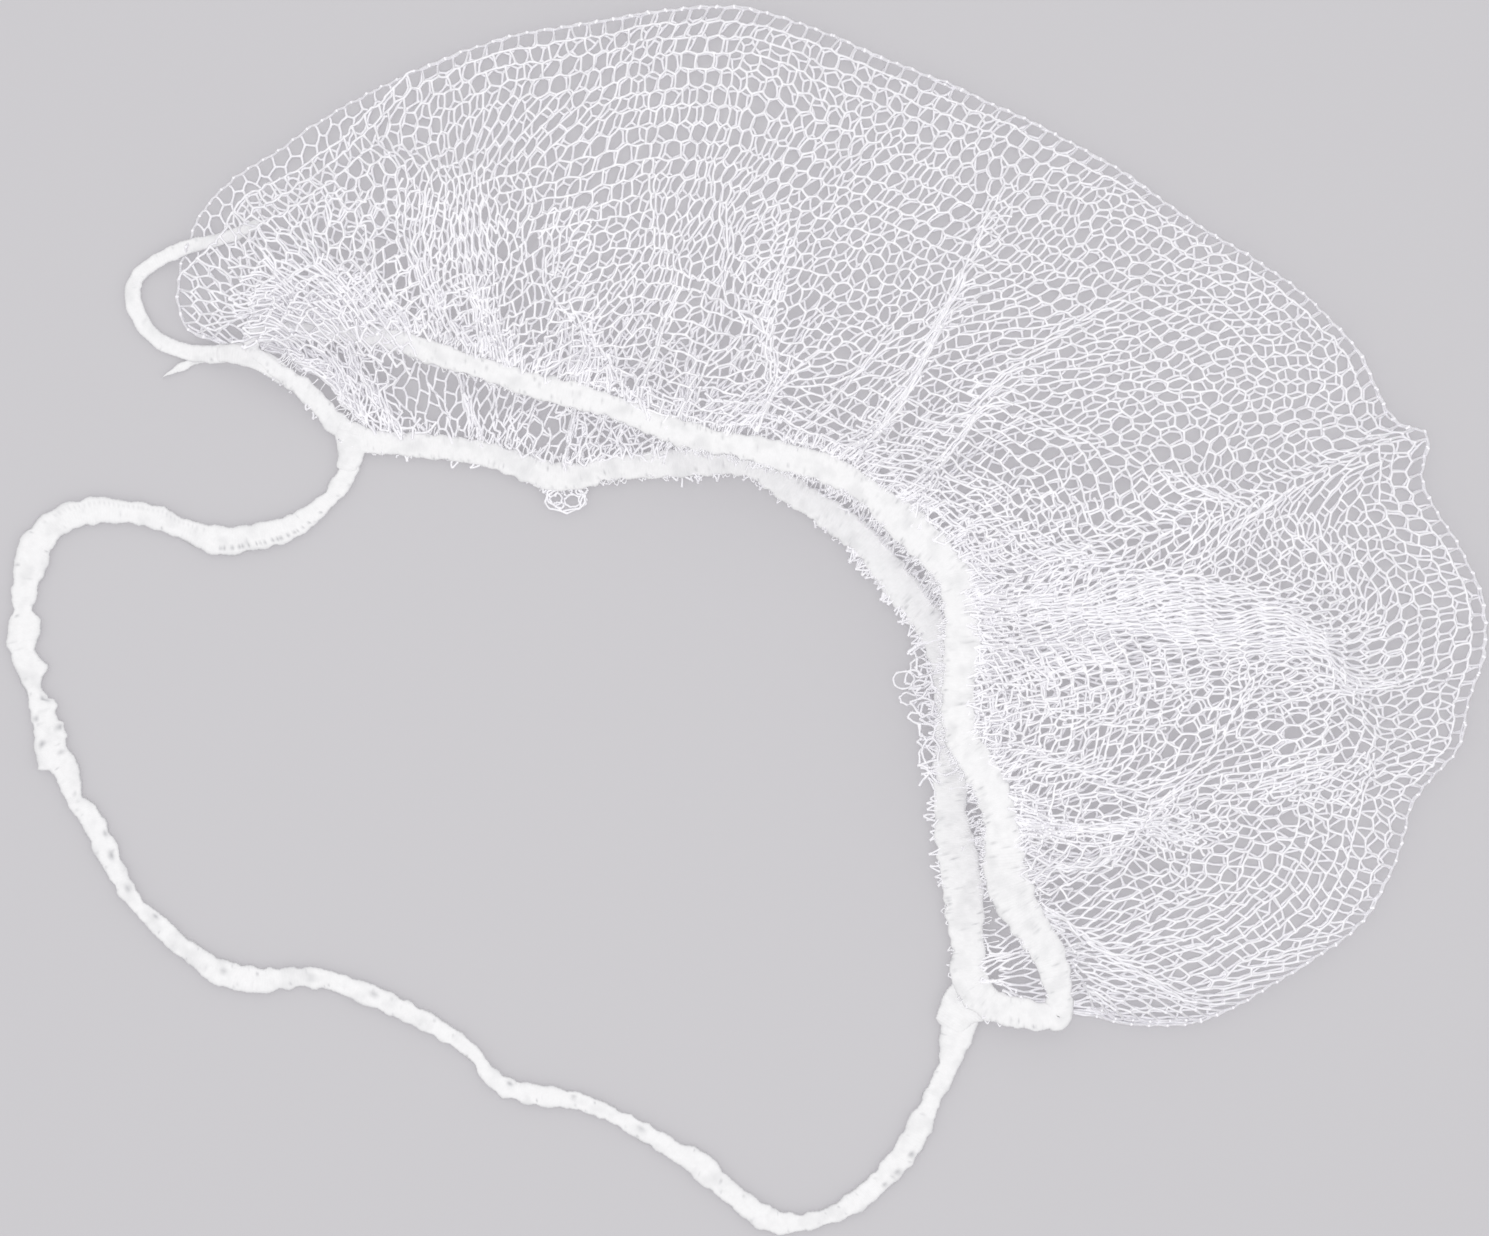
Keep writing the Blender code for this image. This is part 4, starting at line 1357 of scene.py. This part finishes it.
tree, shader = start_finish(net_thread, 0.45, 0.15)
where = add(tree, "ShaderNodeTexCoord")
cloud = noise(tree, where, 300.0, 2.0)
twist = noise(tree, where, 6000.0, 1.0)
fill(tree, shader, Base_Color=two_tone(tree, cloud, THREAD_SHADE, THREAD_LIGHT),
     Normal=bumped(tree, twist, 0.25, 0.00005))

# %% Elastic finish
ELASTIC_SHADE = (0.75, 0.745, 0.755, 1)
ELASTIC_LIGHT = (0.85, 0.845, 0.855, 1)
WORN_GREY = (0.56, 0.56, 0.575, 1)
# painted shade for the holes and the band's edges
PAINTED_HOLE_AND_EDGE_SHADE = (0.40, 0.40, 0.42, 1)

tree, shader = start_finish(knit_elastic, 0.9, 0.15)
where = add(tree, "ShaderNodeTexCoord")
cloud = noise(tree, where, 900.0, 4.0)
tone = two_tone(tree, cloud, ELASTIC_SHADE, ELASTIC_LIGHT)
worn = add(tree, "ShaderNodeMapRange", Value=noise(tree, where, 260.0, 1.0),
           From_Min=0.5, From_Max=0.75, To_Min=0.0, To_Max=0.35)["Result"]
patched = two_tone(tree, worn, tone, WORN_GREY)
# the holes and the edges are painted darker: along the edges this is painted shade, and in a hole
# it stands for the table seen through it and for the shade in the dent
hole_and_edge_shade_node = tree.nodes.new("ShaderNodeAttribute")
hole_and_edge_shade_node.attribute_name = "pit_and_edge_shade"
shaded = two_tone(tree, hole_and_edge_shade_node.outputs["Fac"], patched, PAINTED_HOLE_AND_EDGE_SHADE)
ribs = add(tree, "ShaderNodeTexWave", Vector=where["UV"], Scale=520.0, Distortion=1.5)["Fac"]
ribbed = bumped(tree, ribs, 0.3, 0.0001)
fuzz = noise(tree, where, 2600.0, 2.0)
fill(tree, shader, Base_Color=shaded, Normal=bumped(tree, fuzz, 0.25, 0.0001, Normal=ribbed))
for band in (head_elastic_band, corner_loop_band, loop_tail_band, mouth_elastic_band, *joins):
    band.data.materials.append(knit_elastic)

# %% [markdown]
# ## Floor and light
# The white knit only shows against something a little darker, so the floor is
# a plain pale grey. A bright even surround gives the soft shading under the
# gathers. An overhead light without shadows fills the depth of the net, as
# light does that passes through thin white thread.

# %% Floor
FLOOR_CORNERS = [(-3, -3, 0), (3, -3, 0), (3, 3, 0), (-3, 3, 0)]
FLOOR_COLOUR = (0.525, 0.515, 0.535, 1)

floor_mesh = bpy.data.meshes.new("floor")
floor_mesh.from_pydata(FLOOR_CORNERS, [], [(0, 1, 2, 3)])
floor = bpy.data.objects.new("floor", floor_mesh)
bpy.context.scene.collection.objects.link(floor)
floor_paint = bpy.data.materials.new("floor_paint")
floor_paint.use_nodes = True
fill(floor_paint.node_tree, floor_paint.node_tree.nodes["Principled BSDF"],
     Base_Color=FLOOR_COLOUR, Roughness=0.9, Specular_IOR_Level=0.2)
floor_mesh.materials.append(floor_paint)

# %% Light
SURROUND_COLOUR = (1, 1, 1, 1)
SURROUND_STRENGTH = 0.76
LAMP_PLACE = (0.0, -0.05, 1.3)
LAMP_LONG = 0.8
LAMP_WIDE = 0.6
LAMP_POWER = 7.7

world = bpy.data.worlds.new("surround")
world.use_nodes = True
fill(world.node_tree, world.node_tree.nodes["Background"],
     Color=SURROUND_COLOUR, Strength=SURROUND_STRENGTH)
bpy.context.scene.world = world
lamp_data = bpy.data.lights.new("overhead", "AREA")
lamp_data.shape = "RECTANGLE"
lamp_data.size = LAMP_LONG
lamp_data.size_y = LAMP_WIDE
lamp_data.energy = LAMP_POWER
lamp_data.use_shadow = False
lamp = bpy.data.objects.new("overhead", lamp_data)
lamp.location = LAMP_PLACE
bpy.context.scene.collection.objects.link(lamp)
bpy.context.scene.view_settings.view_transform = "Standard"
